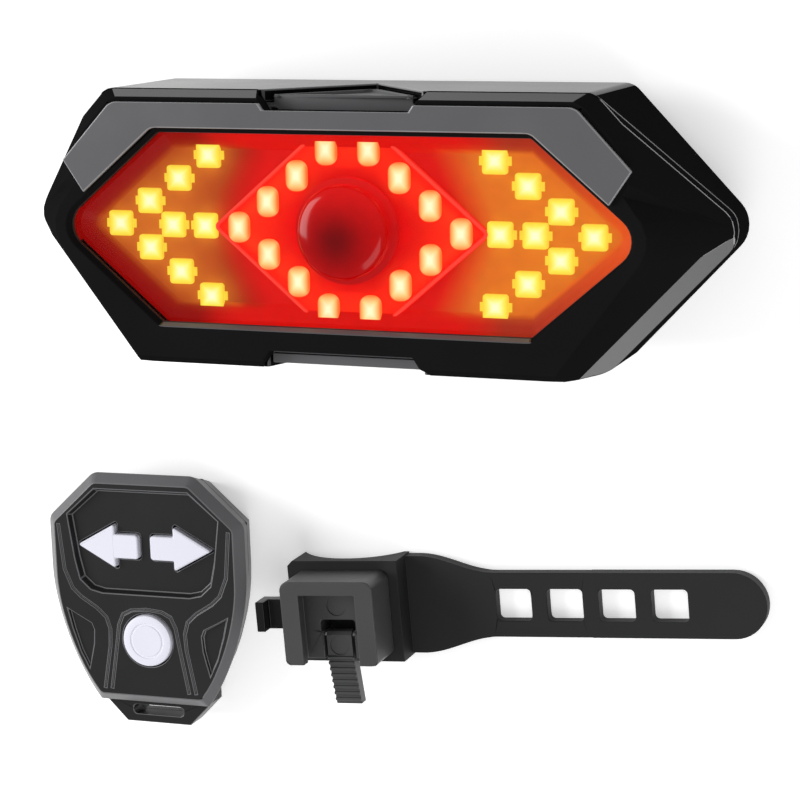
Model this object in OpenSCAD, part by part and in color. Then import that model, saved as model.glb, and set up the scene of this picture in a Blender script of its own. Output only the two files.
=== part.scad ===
// Bicycle rear turn signal light, laid out with its wireless remote and its strap mount.
// Millimetres, +Z up. The light lies on its back on its mounting foot and faces +Z.
// The origin is the middle of the foot's underside. +X is the light's right, +Y its top edge.

/* [Light outline] */
// Middle of the light to the tip of its housing
housing_half_w = 61.4; // [58:0.1:66]
// Middle of the light to the housing's top edge
housing_half_h = 22.2; // [21.4:0.1:25]
// Half the length of the housing's straight top edge
housing_corner = 40.6; // [38:0.1:43]
// Rounding of the housing's two tips
housing_tip_r = 5; // [3:0.1:7]
// Rounding of the housing's other corners
housing_corner_r = 3; // [1.5:0.1:4]
// Wall and floor of the rear housing
housing_wall = 2; // [1.6:0.1:2.4]
// Bevel round the housing's back edge
housing_back_bevel = 3; // [1.5:0.1:4]

/* [Front bezel] */
// Depth of the bevel from the housing's rim to the front face
bezel_bevel_depth = 2.6; // [2:0.1:3.2]
// How far the front face's tips lie inside the housing's
bezel_tip_inset = 3.2; // [2:0.1:4.5]
// How far the front face's straight edges lie inside the housing's
bezel_edge_inset = 1.3; // [0.8:0.1:2]
// How much shorter each half of the front face's top edge is
bezel_corner_inset = 1.8; // [1:0.1:3]
// Frame width at the tips
frame_tip_w = 9.3; // [8:0.1:10.5]
// Frame width along the straight edges
frame_edge_w = 5.6; // [5:0.1:6.2]
// How much shorter each half of the lens's top edge is than the front face's
frame_corner_w = 7.7; // [6.5:0.1:9]
// Depth of the lens face below the front face, which is also the opening's bevel
lens_recess = 1.2; // [0.9:0.1:1.6]
// Spigot that centres the bezel in the housing
spigot_depth = 2; // [1.5:0.1:2.5]
// Thickness of the grey trim plate on the upper half of the frame
trim_t = 0.8; // [0.5:0.1:1.2]
// Black margin left round the trim plate
trim_margin = 0.7; // [0.4:0.1:1]
// Height above the middle at which the trim plate's ends are cut
trim_end_y = 7.9; // [7:0.1:9]
// Slope of the trim plate's cut ends
trim_end_angle = 56; // [50:1:60]
// Drop of the sloped ends from the front face to the housing's tips
end_drop = 13; // [11:0.1:13.6]
// Fall of the sloped ends per millimetre towards the tip
end_rise = 1.5; // [1.44:0.01:1.6]
// Fall of the sloped ends per millimetre away from the middle line
end_skew = 1.12; // [1:0.01:1.18]

/* [Lens and lamps] */
// Thickness of the lens
lens_t = 2.2; // [1.9:0.1:2.8]
// How far the lens flange reaches under the bezel
lens_flange = 2; // [1.5:0.1:2.3]
// Thickness of the lens gasket
gasket_t = 0.6; // [0.4:0.1:0.8]
// Radius of the round centre dome
dome_r = 7.5; // [6.5:0.1:8]
// How far the dome's crown stands above the lens
dome_crown = 1; // [0.6:0.1:1.6]
// Height of the reflector tray
reflector_h = 3.6; // [3:0.1:4.5]
// Thickness of the reflector's floor
reflector_floor = 1.4; // [1.2:0.1:1.8]
// Thickness of the lamp board
board_t = 1.6; // [1.2:0.1:2]
// Side of a lamp package
led_size = 3; // [2.6:0.1:3.4]
// Height of a lamp package
led_t = 1.2; // [0.8:0.1:1.4]
// Tip of the red ring, from the middle
ring_tip_x = 18.75; // [17.5:0.05:20]
// Lens edge to the ring's top row
ring_margin = 2.6; // [2.5:0.1:3]
// Step between the ring's lamps along the light
ring_step_x = 5.06; // [4.8:0.01:5.3]
// Lens tip to the arrow's tip lamp
arrow_margin_x = 8.9; // [8:0.1:10]
// Lens edge to the last lamp of the arrow's arms
arrow_margin_y = 3.9; // [3:0.1:4.5]
// Step between the arrow's lamps along the light
arrow_step_x = 5.3; // [4.8:0.1:5.6]
// Step from the arrow's tip to the first lamp of its shaft
shaft_start = 9.4; // [8.8:0.1:9.8]
// Step between the two lamps of the arrow's shaft
shaft_step = 5.7; // [5:0.1:6]

/* [Battery and fittings] */
// Diameter of the round lithium cell
battery_d = 18.4; // [17.8:0.1:18.8]
// Length of the round lithium cell
battery_l = 65; // [60:0.5:66]
// Width of the top notch at the front, half
notch_half_w = 13.2; // [12:0.1:14]
// Depth of the top and bottom notches in the front face
notch_depth = 1.8; // [1.4:0.1:2]
// Length of the three-cornered power button's pocket
button_pocket_l = 16.5; // [14:0.1:18]
// How far the power button's top lies below the housing's
button_sink = 0.8; // [0.5:0.1:1]
// Travel of the power button
power_travel = 0.8; // [0.5:0.1:0.9]
// Length of the port cover's pocket
cover_pocket_l = 15.5; // [14:0.1:16]
// Half width of the port cover's hinge end
cover_hinge_half_w = 8; // [7:0.1:9]
// Thickness of the rubber port cover
cover_t = 1.6; // [1.4:0.1:1.8]
// Width of the charging socket
port_w = 8.94; // [8:0.01:9.5]
// Height of the charging socket
port_h = 3.26; // [2.8:0.01:3.6]
// Radius of the housing screws
screw_r = 1; // [0.8:0.05:1.2]

/* [Mounting foot] */
// Width of the foot's head
foot_head_w = 12; // [11:0.1:13]
// Thickness of the foot's head
foot_head_t = 2.2; // [1.8:0.1:2.4]
// Width of the foot's neck
foot_neck_w = 9.8; // [8.6:0.1:10]
// Length of the foot along the light's height
foot_l = 11.5; // [10.5:0.1:12]

/* [Remote] */
// Half width of the remote
remote_half_w = 19; // [18.2:0.1:20.5]
// Length of the remote's body without its lanyard tab
remote_l = 42.1; // [41.5:0.1:44]
// Half the length of the remote's straight top edge
remote_top_half = 9.8; // [9:0.1:10.8]
// Drop of the remote's cut upper corners
remote_cut = 8.4; // [7.8:0.1:9]
// Length of the remote's straight side below the cut corner
remote_side_l = 9.2; // [8.6:0.1:10]
// Radius of the remote's drawn-in lower sides
remote_side_r = 40; // [38:0.5:46]
// Height of the remote's back shell
remote_back_h = 4.6; // [4.4:0.1:5]
// Height of the remote's top shell
remote_top_h = 6.2; // [5.8:0.1:6.8]
// Bevel round the remote's top face
remote_bevel = 1.6; // [1.2:0.1:2]
// Wall of the remote's shells
remote_wall = 1.8; // [1.4:0.1:2]
// How far the remote's sides draw in towards its back
remote_taper = 3; // [2:0.1:3.2]
// Depth of the dish that holds the arrow keys
dish_depth = 1.2; // [0.8:0.1:1.4]
// Length of the lanyard tab
tab_l = 4.2; // [4:0.1:4.6]
// Width of the lanyard slot
lanyard_slot_w = 9.9; // [8.5:0.1:10.2]
// Height of the lanyard slot
lanyard_slot_h = 1.8; // [1.5:0.1:2]
// Length of an arrow key's head
arrow_head_l = 7.3; // [6.8:0.1:7.6]
// Height of an arrow key's head
arrow_head_h = 8.1; // [7.6:0.1:8.5]
// Length of an arrow key's shaft
arrow_shaft_l = 4.5; // [4:0.1:4.8]
// Height of an arrow key's shaft
arrow_shaft_h = 4.4; // [4:0.1:5]
// Gap between the two arrow keys
arrow_gap = 2.4; // [2.3:0.1:2.8]
// Radius of the round key
mode_r = 4.7; // [4.2:0.1:5]
// Travel of the remote's keys
key_travel = 0.6; // [0.4:0.05:0.65]
// How far the arrow keys stand above the dish
key_proud = 0.9; // [0.6:0.1:1.1]
// How far the round key stands above the face
mode_proud = 0.5; // [0.3:0.1:0.9]
// Remote's top edge to the middle of the arrow keys
arrow_drop = 13.15; // [12.9:0.05:13.6]
// Remote's top edge to the middle of the round key
mode_drop = 30.05; // [29.5:0.05:30.6]
// Radius of the coin cell
coin_r = 10; // [9:0.1:10.5]
// Thickness of the coin cell
coin_t = 3.2; // [2.5:0.1:3.2]
// Length of the coin cell's spring contact
clip_l = 16; // [14:0.5:18]
// Width of the coin cell's spring contact
clip_w = 3; // [2:0.1:4]

/* [Strap mount] */
// Radius of the bar or post that the saddle takes
post_r = 11.1; // [10.6:0.1:12.7]
// Depth of the saddle
saddle_depth = 5.04; // [4.9:0.01:5.4]
// Flat edge on both sides of the saddle
saddle_edge = 0.9; // [0.6:0.1:1.2]
// Rubber between the post and the bracket
saddle_t = 1.96; // [1.6:0.01:2.4]
// End wall of the bracket's socket
bracket_end_wall = 2.4; // [2:0.1:3]
// Side walls of the bracket
bracket_wall = 2.3; // [2:0.1:2.8]
// Thickness of the bracket's base
bracket_base_t = 4; // [3.8:0.1:4.4]
// Thickness of the lips that hold the foot
bracket_lip_t = 2; // [1.6:0.1:2.4]
// Length of the strap hook
hook_l = 6.6; // [6:0.1:7.4]
// Width of the strap hook
hook_w = 5.3; // [4.6:0.1:5.6]
// Width of the release lever's tongue
lever_w = 4.7; // [4.2:0.1:5]
// Length of the release lever's thumb tab
lever_tab_l = 8.6; // [7.5:0.1:9.5]
// Thickness of the strap
strap_t = 2.4; // [2:0.1:2.8]
// Width of the strap at its root
strap_root_w = 17.4; // [16:0.1:18]
// Width of the strap
strap_w = 11.4; // [10.4:0.1:12.4]
// Distance between the strap's holes
strap_pitch = 9.15; // [8.6:0.05:9.6]
// Length of a strap hole
strap_hole_l = 6.3; // [5.8:0.1:6.6]
// Mount's middle to the strap's first hole
first_hole_x = 29.3; // [28.5:0.1:31]
// Last hole's middle to the strap's rounded end
strap_end_l = 16.5; // [13:0.1:18]

/* [Layout] */
// Place of the remote beside the light
remote_x = -47.2; // [-60:0.1:-46]
// Place of the remote in front of the light
remote_y = -70.35; // [-82:0.05:-64]
// Turn of the remote
remote_turn = 1.25; // [0:0.25:5]
// Place of the strap mount beside the light
mount_x = -10.7; // [-12:0.1:20]
// Place of the strap mount in front of the light
mount_y = -69.8; // [-82:0.1:-62]
// Turn of the strap mount
mount_turn = 4.5; // [0:0.5:6]

/* [Hidden] */

$fn = 48;
arc_steps = 8;
eps = 0.1;

// Clearances of the spigot, pins, foot, boards, hole ends, button, port cover, port and strap hook
fit_gap = 0.15;
pin_gap = 0.05;
foot_gap = 0.2;
board_gap = 0.2;
hole_end = 0.3;
press_gap = 0.5;
cover_gap = 0.4;
port_gap = 0.25;
hook_gap = 0.3;

// Heights of the light's stack, from the floor to the front
light_gap = 0.6;
back_z = foot_head_t + foot_gap + bracket_lip_t + light_gap;
floor_z = back_z + housing_wall;
battery_r = battery_d / 2;
battery_lift = 0.4;
battery_z = floor_z + battery_lift + battery_r;
board_clearance = 0.6;
board_z = battery_z + battery_r + board_clearance;
board_top_z = board_z + board_t;
tray_floor_z = board_top_z + reflector_floor;
lens_back_z = board_top_z + reflector_h;
lens_front_z = lens_back_z + lens_t;
flange_top_z = lens_front_z - gasket_t;
front_z = lens_front_z + lens_recess;
rim_z = front_z - bezel_bevel_depth;
spigot_z = rim_z - spigot_depth;

// Outlines of the light: half width, half height, half top edge, tip radius, corner radius
lens_tip_r = 4;
lens_corner_r = 1;
housing_outline = [housing_half_w, housing_half_h, housing_corner, housing_tip_r, housing_corner_r];
bezel_outline = [housing_half_w - bezel_tip_inset, housing_half_h - bezel_edge_inset,
                 housing_corner - bezel_corner_inset, housing_tip_r, housing_corner_r];
lens_outline = [bezel_outline[0] - frame_tip_w, bezel_outline[1] - frame_edge_w,
                bezel_outline[2] - frame_corner_w, lens_tip_r, lens_corner_r];

// Sloped ends of the frame and housing, and the trim plate's cut ends above them
housing_tip_x = housing_half_w + housing_tip_r - housing_tip_r / edge_normal(housing_outline)[0];
end_z = front_z - end_drop;
trim_cut_x = (diagonal_x(bezel_outline, trim_end_y, 0) + diagonal_x(lens_outline, trim_end_y, 0)) / 2;
spigot_tip_gap = 6;
half_space_l = 160;

// Reflector's rim and lamp windows
tray_rim_inset = 0.6;
window_gap = 0.2;
lamp_window = led_size + 2 * window_gap;

// Fixings of the light
inner_half_h = housing_half_h - housing_wall;
post_inset = 0.8;
post_share = 0.34;
post_y = lens_outline[1] - post_inset;
post_x = post_share * diagonal_x(housing_outline, post_y, housing_wall)
         + (1 - post_share) * diagonal_x(lens_outline, post_y, -lens_flange);
screw_post_r = 2.2;
screw_seat_r = 3.3;
screw_seat_t = 1.6;
screw_head_r = 1.9;
screw_head_t = 1.3;
screw_sink = 7;
screw_bite = 0.8;
screw_seat_z = back_z + screw_sink;
screw_tip_z = rim_z + screw_bite;
board_rest_r = 1.6;
board_rest_inset = 3.5;
board_rest_y = 11;
board_rest_x = diagonal_x(lens_outline, board_rest_y, -lens_flange) - board_rest_inset;
foot_screw_inset = 2.4;
foot_screw_y = foot_l / 2 - foot_screw_inset;
foot_screw_r = 0.8;
foot_screw_head_r = 1.7;
foot_screw_head_t = 1.2;
foot_screw_tip_z = 1.2;

// Power button and port cover
button_flange_t = 1.4;
button_flange_w = 0.8;
button_top_y = housing_half_h - button_sink;
button_under_y = inner_half_h - button_flange_t;
relief_margin = 3;
relief_half_w = notch_half_w + relief_margin;
cover_sink = 0.7;
cover_out_y = -(housing_half_h - cover_sink);
cover_in_y = cover_out_y + cover_t;
cover_floor_y = cover_in_y + eps;
cover_floor_t = 1.6;
cover_hinge_y = (cover_out_y + cover_in_y) / 2;
cover_hinge_inset = 1.2;
cover_hinge_z = rim_z - cover_pocket_l + cover_hinge_inset;
cover_pin_r = 0.5;
cover_pin_l = 1.2;
port_z = board_z - port_h / 2;
port_l = 7.3;
port_mouth_y = cover_floor_y + cover_floor_t;

// Remote
remote_front_z = remote_back_h + remote_top_h;
remote_rim_z = remote_front_z - remote_bevel;
remote_top_y = (remote_l + tab_l) / 2;
remote_low_y = remote_top_y - remote_l;
remote_shoulder_y = remote_top_y - remote_cut;
remote_waist_y = remote_shoulder_y - remote_side_l;
remote_low_angle = asin((remote_waist_y - remote_low_y) / remote_side_r);
remote_low_half_w = remote_half_w - remote_side_r * (1 - cos(remote_low_angle));
tab_root_inset = 0.3;
tab_side_w = 1.3;
tab_root_half_w = remote_low_half_w - tab_root_inset;
tab_end_half_w = lanyard_slot_w / 2 + tab_side_w;
tab_low_z = 3;
tab_high_z = 8;
tab_overlap = 3.5;
slot_drop = 1.85;
slot_y = remote_low_y - slot_drop;
arrow_y = remote_top_y - arrow_drop;
mode_y = remote_top_y - mode_drop;
dish_z = remote_front_z - dish_depth;
face_t = 1.4;
face_under_z = dish_z - face_t;
key_flange_t = 0.6;
key_flange_w = 0.8;
key_gap = 0.25;
remote_board_t = 1;
dome_t = 0.7;
dome_switch_r = 2.5;
key_under_z = face_under_z - key_flange_t;
remote_board_top_z = key_under_z - key_travel - eps - dome_t;
remote_board_z = remote_board_top_z - remote_board_t;
clip_t = 0.4;
coin_top_z = remote_board_z - clip_t;
coin_z = coin_top_z - coin_t;
door_t = 1.3;
door_low_z = 0.1;
door_y = 4.5;
door_margin = 1.5;
door_r = coin_r + door_margin;
lug_reach = 1.1;
lug_t = 0.6;
lug_low_z = door_low_z + door_t - lug_t;
seal_t = 0.5;
remote_floor_t = 2.6;
remote_screw_upper = [5.8, 10.35];
remote_screw_lower = [2.7, 5.05];
remote_screw_x = [remote_half_w - remote_screw_upper[0], remote_low_half_w - remote_screw_lower[0]];
remote_screw_y = [remote_top_y - remote_screw_upper[1], remote_low_y + remote_screw_lower[1]];
remote_screw_r = 0.6;
remote_post_r = 1.4;
remote_screw_head_r = 1.2;
remote_screw_head_t = 1;
remote_screw_sink = 0.5;
remote_screw_bite = 0.6;
remote_screw_tip_z = face_under_z + remote_screw_bite;

// Strap mount
saddle_half_w = sqrt(post_r * post_r - pow(post_r - saddle_depth, 2)) + saddle_edge;
pad_z = saddle_depth + saddle_t;
socket_z = pad_z + bracket_base_t;
slot_half_w = foot_head_w / 2 + foot_gap;
lip_half_w = foot_neck_w / 2 + foot_gap;
lip_z = socket_z + foot_head_t + foot_gap;
bracket_top_z = lip_z + bracket_lip_t;
bracket_half_w = slot_half_w + bracket_wall;
latch_h = 0.35;
latch_l = 0.5;
bracket_l = foot_l + 2 * foot_gap + latch_l + bracket_end_wall;
bracket_half_l = bracket_l / 2;
socket_end_y = bracket_half_l - bracket_end_wall;
hook_t = 2.2;
hook_lip_t = 1.6;
hook_lip_h = 2.2;
lever_slit = 0.5;
lever_t = 2.6;
lever_tongue_l = 4.8;
lever_window_l = 2.15;
lever_window_side = 0.35;
lever_end_w = 0.6;
lever_top_y = -bracket_half_l + lever_tongue_l;
lever_window_y = lever_top_y + lever_window_l;
lever_pivot_y = lever_top_y - lever_end_w;
lever_pivot_z = socket_z - lever_t / 2;
lever_pin_r = 0.6;
lever_pin_grip = 2.2;
lever_pin_half_l = lever_w / 2 + lever_pin_grip;
lever_drop = 2;
lever_tab_t = 2.2;
lever_ribs = 7;
lever_rib_r = 0.35;
lever_tab_flare = 0.3;
strap_hole_w = hook_w + hook_gap;
strap_end_x = first_hole_x + 3 * strap_pitch + strap_end_l;
bend_x = [for (i = [0:2]) first_hole_x - 1.5 * strap_pitch + 2 * i * strap_pitch];
taper_start = 2;
taper_from_x = saddle_half_w + taper_start;
taper_to_x = first_hole_x - strap_hole_l / 2;
strap_hole_r = 0.8;

// Points of an arc
function arc(middle, r, from, to) =
    [for (i = [0:arc_steps]) let (a = from + (to - from) * i / arc_steps) middle + r * [cos(a), sin(a)]];

// Outward normal of a long hexagon's upper right edge
function edge_normal(o) = [o[1], o[0] - o[2]] / norm([o[1], o[0] - o[2]]);

// Place of a long hexagon's upper right edge at a height, with the outline drawn in by an inset
function diagonal_x(o, y, inset) = o[0] - inset / edge_normal(o)[0] - y * (o[0] - o[2]) / o[1];

// Points of a long hexagon with rounded tips and corners, drawn in by an inset
function hexagon_points(o, inset) =
    let (n = edge_normal(o), slant = atan2(n[1], n[0]), w = o[0] - inset / n[0], h = o[1] - inset)
    let (tip_r = max(o[3] - inset, 0.4), corner_r = max(o[4] - inset, 0.4))
    let (tip = [w - tip_r / n[0], 0])
    let (corner = [w - (corner_r + n[1] * (h - corner_r)) / n[0], h - corner_r])
    concat(arc(tip, tip_r, -slant, slant),
           arc(corner, corner_r, slant, 90),
           arc([-corner[0], corner[1]], corner_r, 90, 180 - slant),
           arc(-tip, tip_r, 180 - slant, 180 + slant),
           arc(-corner, corner_r, 180 + slant, 270),
           arc([corner[0], -corner[1]], corner_r, 270, 360 - slant));

// Points of one arrow of lamps on the right, and of the right half of the red ring
arrow_tip_x = lens_outline[0] - arrow_margin_x;
arrow_step_y = (lens_outline[1] - arrow_margin_y) / 3;
arrow_points = concat([for (i = [-3:3]) [arrow_tip_x - arrow_step_x * abs(i), arrow_step_y * i]],
                      [for (i = [0, 1]) [arrow_tip_x - shaft_start - i * shaft_step, 0]]);
ring_step_y = (lens_outline[1] - ring_margin) / 3;
ring_half_points = [for (i = [-3:3]) [ring_tip_x - ring_step_x * abs(i), ring_step_y * i]];
function mirrored(points) = [for (p = points) [-p[0], p[1]]];
ring_points = concat(ring_half_points, mirrored(ring_half_points));

// Half width of the strap along its length
function strap_half_w(x) =
    let (t = min(max((x - taper_from_x) / (taper_to_x - taper_from_x), 0), 1))
    (strap_root_w + (strap_w - strap_root_w) * (1 - cos(180 * t)) / 2) / 2;

// Slab of a long hexagon between two heights
module hexagon_slab(o, inset, low, high) {
    translate([0, 0, low])
        linear_extrude(high - low)
            polygon(hexagon_points(o, inset));
}

// Bevel between two long hexagons
module hexagon_bevel(low_outline, low_inset, low, high_outline, high_inset, high) {
    hull() {
        hexagon_slab(low_outline, low_inset, low, low + eps);
        hexagon_slab(high_outline, high_inset, high - eps, high);
    }
}

// Outline in the light's X and Z, extruded between two heights of Y
module side_slab(low_y, high_y, points) {
    translate([0, high_y, 0])
        rotate([90, 0, 0])
            linear_extrude(high_y - low_y)
                polygon(points);
}

module box(low, high) {
    translate(low)
        cube(high - low);
}

// Everything beyond a plane through a point
module half_space(at, normal) {
    translate(at)
        rotate([0, acos(normal[2] / norm(normal)), atan2(normal[1], normal[0])])
            translate([-half_space_l / 2, -half_space_l / 2, 0])
                cube(half_space_l);
}

// What the sloped ends take off the light, moved inwards by an inset
module end_slopes(inset) {
    for (side = [-1, 1]) {
        tip = [side * housing_tip_x, 0, end_z];
        lower = [side * end_rise, -end_skew, 1];
        upper = [side * end_rise, end_skew, 1];
        across = [side * sin(trim_end_angle), -cos(trim_end_angle), 0];
        step = across + [0, 0, 1];
        half_space(tip - inset * lower / norm(lower), lower);
        intersection() {
            half_space(tip - inset * upper / norm(upper), upper);
            half_space([side * trim_cut_x, trim_end_y, front_z] + trim_margin * across - inset * step / norm(step),
                       step);
        }
    }
}

module at_points(points, z) {
    for (p = points)
        translate([p[0], p[1], z])
            children();
}

module four_corners(x, y) {
    for (sx = [-1, 1], sy = [-1, 1])
        translate([sx * x, sy * y, 0])
            children();
}

module place_remote() {
    translate([remote_x, remote_y, 0])
        rotate([0, 0, remote_turn])
            children();
}

module place_mount() {
    translate([mount_x, mount_y, 0])
        rotate([0, 0, mount_turn])
            children();
}

// Three-cornered outline of the power button, in X and Z, drawn in by an inset
function button_points(inset) =
    let (apex = atan(notch_half_w / button_pocket_l), base = 90 - apex)
    let (half_w = notch_half_w - inset / tan(base / 2), front = rim_z - inset)
    [[-half_w, front], [half_w, front], [0, rim_z - button_pocket_l + inset / sin(apex)]];

// Outline of the port cover's pocket, in X and Z
cover_pocket_points = [[-notch_half_w, rim_z], [-cover_hinge_half_w, rim_z - cover_pocket_l],
                       [cover_hinge_half_w, rim_z - cover_pocket_l], [notch_half_w, rim_z]];

// Notch in the front frame's top edge, or its bottom edge when mirrored
module frame_notch() {
    outer = housing_half_h + 1;
    inner = bezel_outline[1] - notch_depth;
    draft = 1.2;
    foot_half_w = notch_half_w - draft;
    outer_half_w = foot_half_w + draft * (outer - inner) / notch_depth;
    translate([0, 0, rim_z - eps])
        linear_extrude(bezel_bevel_depth + trim_t + 2 * eps)
            polygon([[-outer_half_w, outer], [-foot_half_w, inner],
                     [foot_half_w, inner], [outer_half_w, outer]]);
}

// Tub of glossy plastic that holds the battery and takes the bezel's spigot
module rear_housing() {
    cradle_x = battery_l / 2 - 12;
    cradle_half_l = 1;
    cradle_half_w = battery_r - 2;
    cradle_h = battery_r - 4.6;
    port_wall = 2;
    head_gap = 0.2;
    color([0.09, 0.09, 0.1])
    difference() {
        union() {
            difference() {
                union() {
                    hexagon_bevel(housing_outline, housing_back_bevel, back_z,
                                  housing_outline, 0, back_z + housing_back_bevel + eps);
                    hexagon_slab(housing_outline, 0, back_z + housing_back_bevel, rim_z);
                }
                difference() {
                    hexagon_slab(housing_outline, housing_wall, floor_z, rim_z + eps);
                    end_slopes(housing_wall);
                }
            }
            four_corners(post_x, post_y) {
                translate([0, 0, floor_z - eps])
                    cylinder(r = screw_seat_r, h = screw_seat_z + screw_seat_t - floor_z + eps);
                translate([0, 0, floor_z - eps])
                    cylinder(r = screw_post_r, h = spigot_z - floor_z + eps);
            }
            four_corners(board_rest_x, board_rest_y)
                translate([0, 0, floor_z - eps])
                    cylinder(r = board_rest_r, h = board_z - floor_z + eps);
            for (side = [-1, 1])
                difference() {
                    box([side * cradle_x - cradle_half_l, -cradle_half_w, floor_z - eps],
                        [side * cradle_x + cradle_half_l, cradle_half_w, floor_z + cradle_h]);
                    translate([side * cradle_x, 0, battery_z])
                        rotate([0, 90, 0])
                            cylinder(r = battery_r + eps, h = 4 * cradle_half_l, center = true);
                }
            box([-notch_half_w - port_wall, -inner_half_h - eps, rim_z - cover_pocket_l - port_wall],
                [notch_half_w + port_wall, port_mouth_y, spigot_z]);
        }
        four_corners(post_x, post_y) {
            translate([0, 0, back_z - eps])
                cylinder(r = screw_head_r + head_gap, h = screw_seat_z - back_z + eps);
            cylinder(r = screw_r + pin_gap, h = rim_z);
        }
        for (side = [-1, 1])
            translate([0, side * foot_screw_y, 0]) {
                translate([0, 0, floor_z - foot_screw_head_t])
                    cylinder(r = foot_screw_head_r + pin_gap, h = foot_screw_head_t + eps);
                cylinder(r = foot_screw_r + pin_gap, h = floor_z);
            }
        side_slab(inner_half_h - eps, housing_half_h + 1, button_points(0));
        button_mouth();
        side_slab(-housing_half_h - 1, cover_floor_y, cover_pocket_points);
        cover_mouth();
        box([-port_w / 2 - port_gap, cover_floor_y - eps, port_z - port_h / 2 - port_gap],
            [port_w / 2 + port_gap, port_mouth_y + eps, port_z + port_h / 2 + port_gap]);
        cover_axle(cover_hinge_half_w + cover_pin_l + hole_end, cover_pin_r + pin_gap);
        hexagon_slab(lens_outline, -lens_flange - fit_gap, board_z, rim_z + eps);
        end_slopes(0);
    }
}

// Opens the power button's pocket through the housing's rim
module button_mouth() {
    box([-notch_half_w, inner_half_h - eps, rim_z - eps], [notch_half_w, housing_half_h + 1, rim_z + 1]);
}

// Opens the port cover's pocket through the housing's rim
module cover_mouth() {
    box([-notch_half_w, -housing_half_h - 1, rim_z - eps], [notch_half_w, cover_floor_y, rim_z + 1]);
}

module cover_axle(half_l, r) {
    translate([0, cover_hinge_y, cover_hinge_z])
        rotate([0, 90, 0])
            cylinder(r = r, h = 2 * half_l, center = true);
}

// Foot with a wide head that slides into the strap mount
module mount_foot() {
    color([0.12, 0.12, 0.13])
    difference() {
        union() {
            box([-foot_head_w / 2, -foot_l / 2, 0], [foot_head_w / 2, foot_l / 2, foot_head_t]);
            box([-foot_neck_w / 2, -foot_l / 2, foot_head_t - eps], [foot_neck_w / 2, foot_l / 2, back_z]);
        }
        for (side = [-1, 1])
            translate([0, side * foot_screw_y, foot_screw_tip_z - hole_end])
                cylinder(r = foot_screw_r + pin_gap, h = back_z);
    }
}

// Screws from inside the housing into the foot
module foot_screws() {
    color([0.7, 0.7, 0.72])
    for (side = [-1, 1])
        translate([0, side * foot_screw_y, 0]) {
            translate([0, 0, floor_z - foot_screw_head_t])
                cylinder(r = foot_screw_head_r, h = foot_screw_head_t);
            translate([0, 0, foot_screw_tip_z])
                cylinder(r = foot_screw_r, h = floor_z - foot_screw_tip_z - eps);
        }
}

// Front frame with a bevelled rim, sloped ends, a bevelled lens opening and a spigot
module front_bezel() {
    spigot_half_l = lens_outline[0] - spigot_tip_gap;
    color([0.1, 0.1, 0.11])
    difference() {
        union() {
            hexagon_bevel(housing_outline, 0, rim_z, bezel_outline, 0, front_z);
            intersection() {
                difference() {
                    hexagon_slab(housing_outline, housing_wall + fit_gap, spigot_z, rim_z + eps);
                    end_slopes(housing_wall + fit_gap);
                }
                box([-spigot_half_l, -housing_half_h, spigot_z], [spigot_half_l, housing_half_h, rim_z + eps]);
            }
        }
        end_slopes(0);
        hexagon_slab(lens_outline, -lens_flange - fit_gap, spigot_z - eps, lens_front_z);
        hexagon_bevel(lens_outline, 0, lens_front_z - eps, lens_outline, -lens_recess - eps, front_z + eps);
        frame_notch();
        mirror([0, 1, 0])
            frame_notch();
        for (side = [-1, 1])
            spigot_relief(side);
        four_corners(post_x, post_y)
            cylinder(r = screw_r + pin_gap, h = screw_tip_z + hole_end);
    }
}

// Gap in the spigot behind the notches, where the button's flange and the port cover lie
module spigot_relief(side) {
    near = lens_outline[1] + lens_flange + fit_gap;
    box([-relief_half_w, side > 0 ? near : -housing_half_h, spigot_z - eps],
        [relief_half_w, side > 0 ? housing_half_h : -near, rim_z]);
}

// Grey plate over the upper half of the frame, cut across at both ends
module upper_trim() {
    cut = [cos(trim_end_angle), sin(trim_end_angle)];
    high = [trim_cut_x, trim_end_y] + housing_half_h * cut;
    low = [trim_cut_x, trim_end_y] - trim_end_y * cut;
    color([0.4, 0.4, 0.42])
    difference() {
        intersection() {
            hexagon_slab(bezel_outline, trim_margin, front_z, front_z + trim_t);
            translate([0, 0, front_z])
                linear_extrude(trim_t)
                    polygon([high, low, [-low[0], low[1]], [-high[0], high[1]]]);
        }
        hexagon_slab(lens_outline, -lens_recess - trim_margin, front_z - eps, front_z + trim_t + eps);
        frame_notch();
    }
}

// Clear lens with a flange under the bezel and a round hole for the dome
module lens() {
    color([0.9, 0.2, 0.15, 0.4])
    difference() {
        union() {
            hexagon_slab(lens_outline, -lens_flange, lens_back_z, flange_top_z);
            hexagon_slab(lens_outline, eps, flange_top_z - eps, lens_front_z);
        }
        cylinder(r = dome_r + eps, h = front_z);
    }
}

// Soft ring between the lens flange and the bezel
module lens_gasket() {
    color([0.05, 0.05, 0.05])
    difference() {
        hexagon_slab(lens_outline, -lens_flange + eps, flange_top_z, lens_front_z);
        hexagon_slab(lens_outline, 0, flange_top_z - eps, lens_front_z + eps);
    }
}

// Dark red dome in the middle of the lens, with a flange behind it
module center_dome() {
    flange_w = 1;
    sphere_r = (dome_r * dome_r + dome_crown * dome_crown) / (2 * dome_crown);
    color([0.45, 0.03, 0.03])
    union() {
        translate([0, 0, tray_floor_z])
            cylinder(r = dome_r + flange_w, h = lens_back_z - tray_floor_z - eps);
        intersection() {
            translate([0, 0, lens_back_z - 2 * eps])
                cylinder(r = dome_r, h = lens_t + dome_crown + 3 * eps);
            translate([0, 0, lens_front_z + dome_crown - sphere_r])
                sphere(r = sphere_r, $fn = 96);
        }
    }
}

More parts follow.
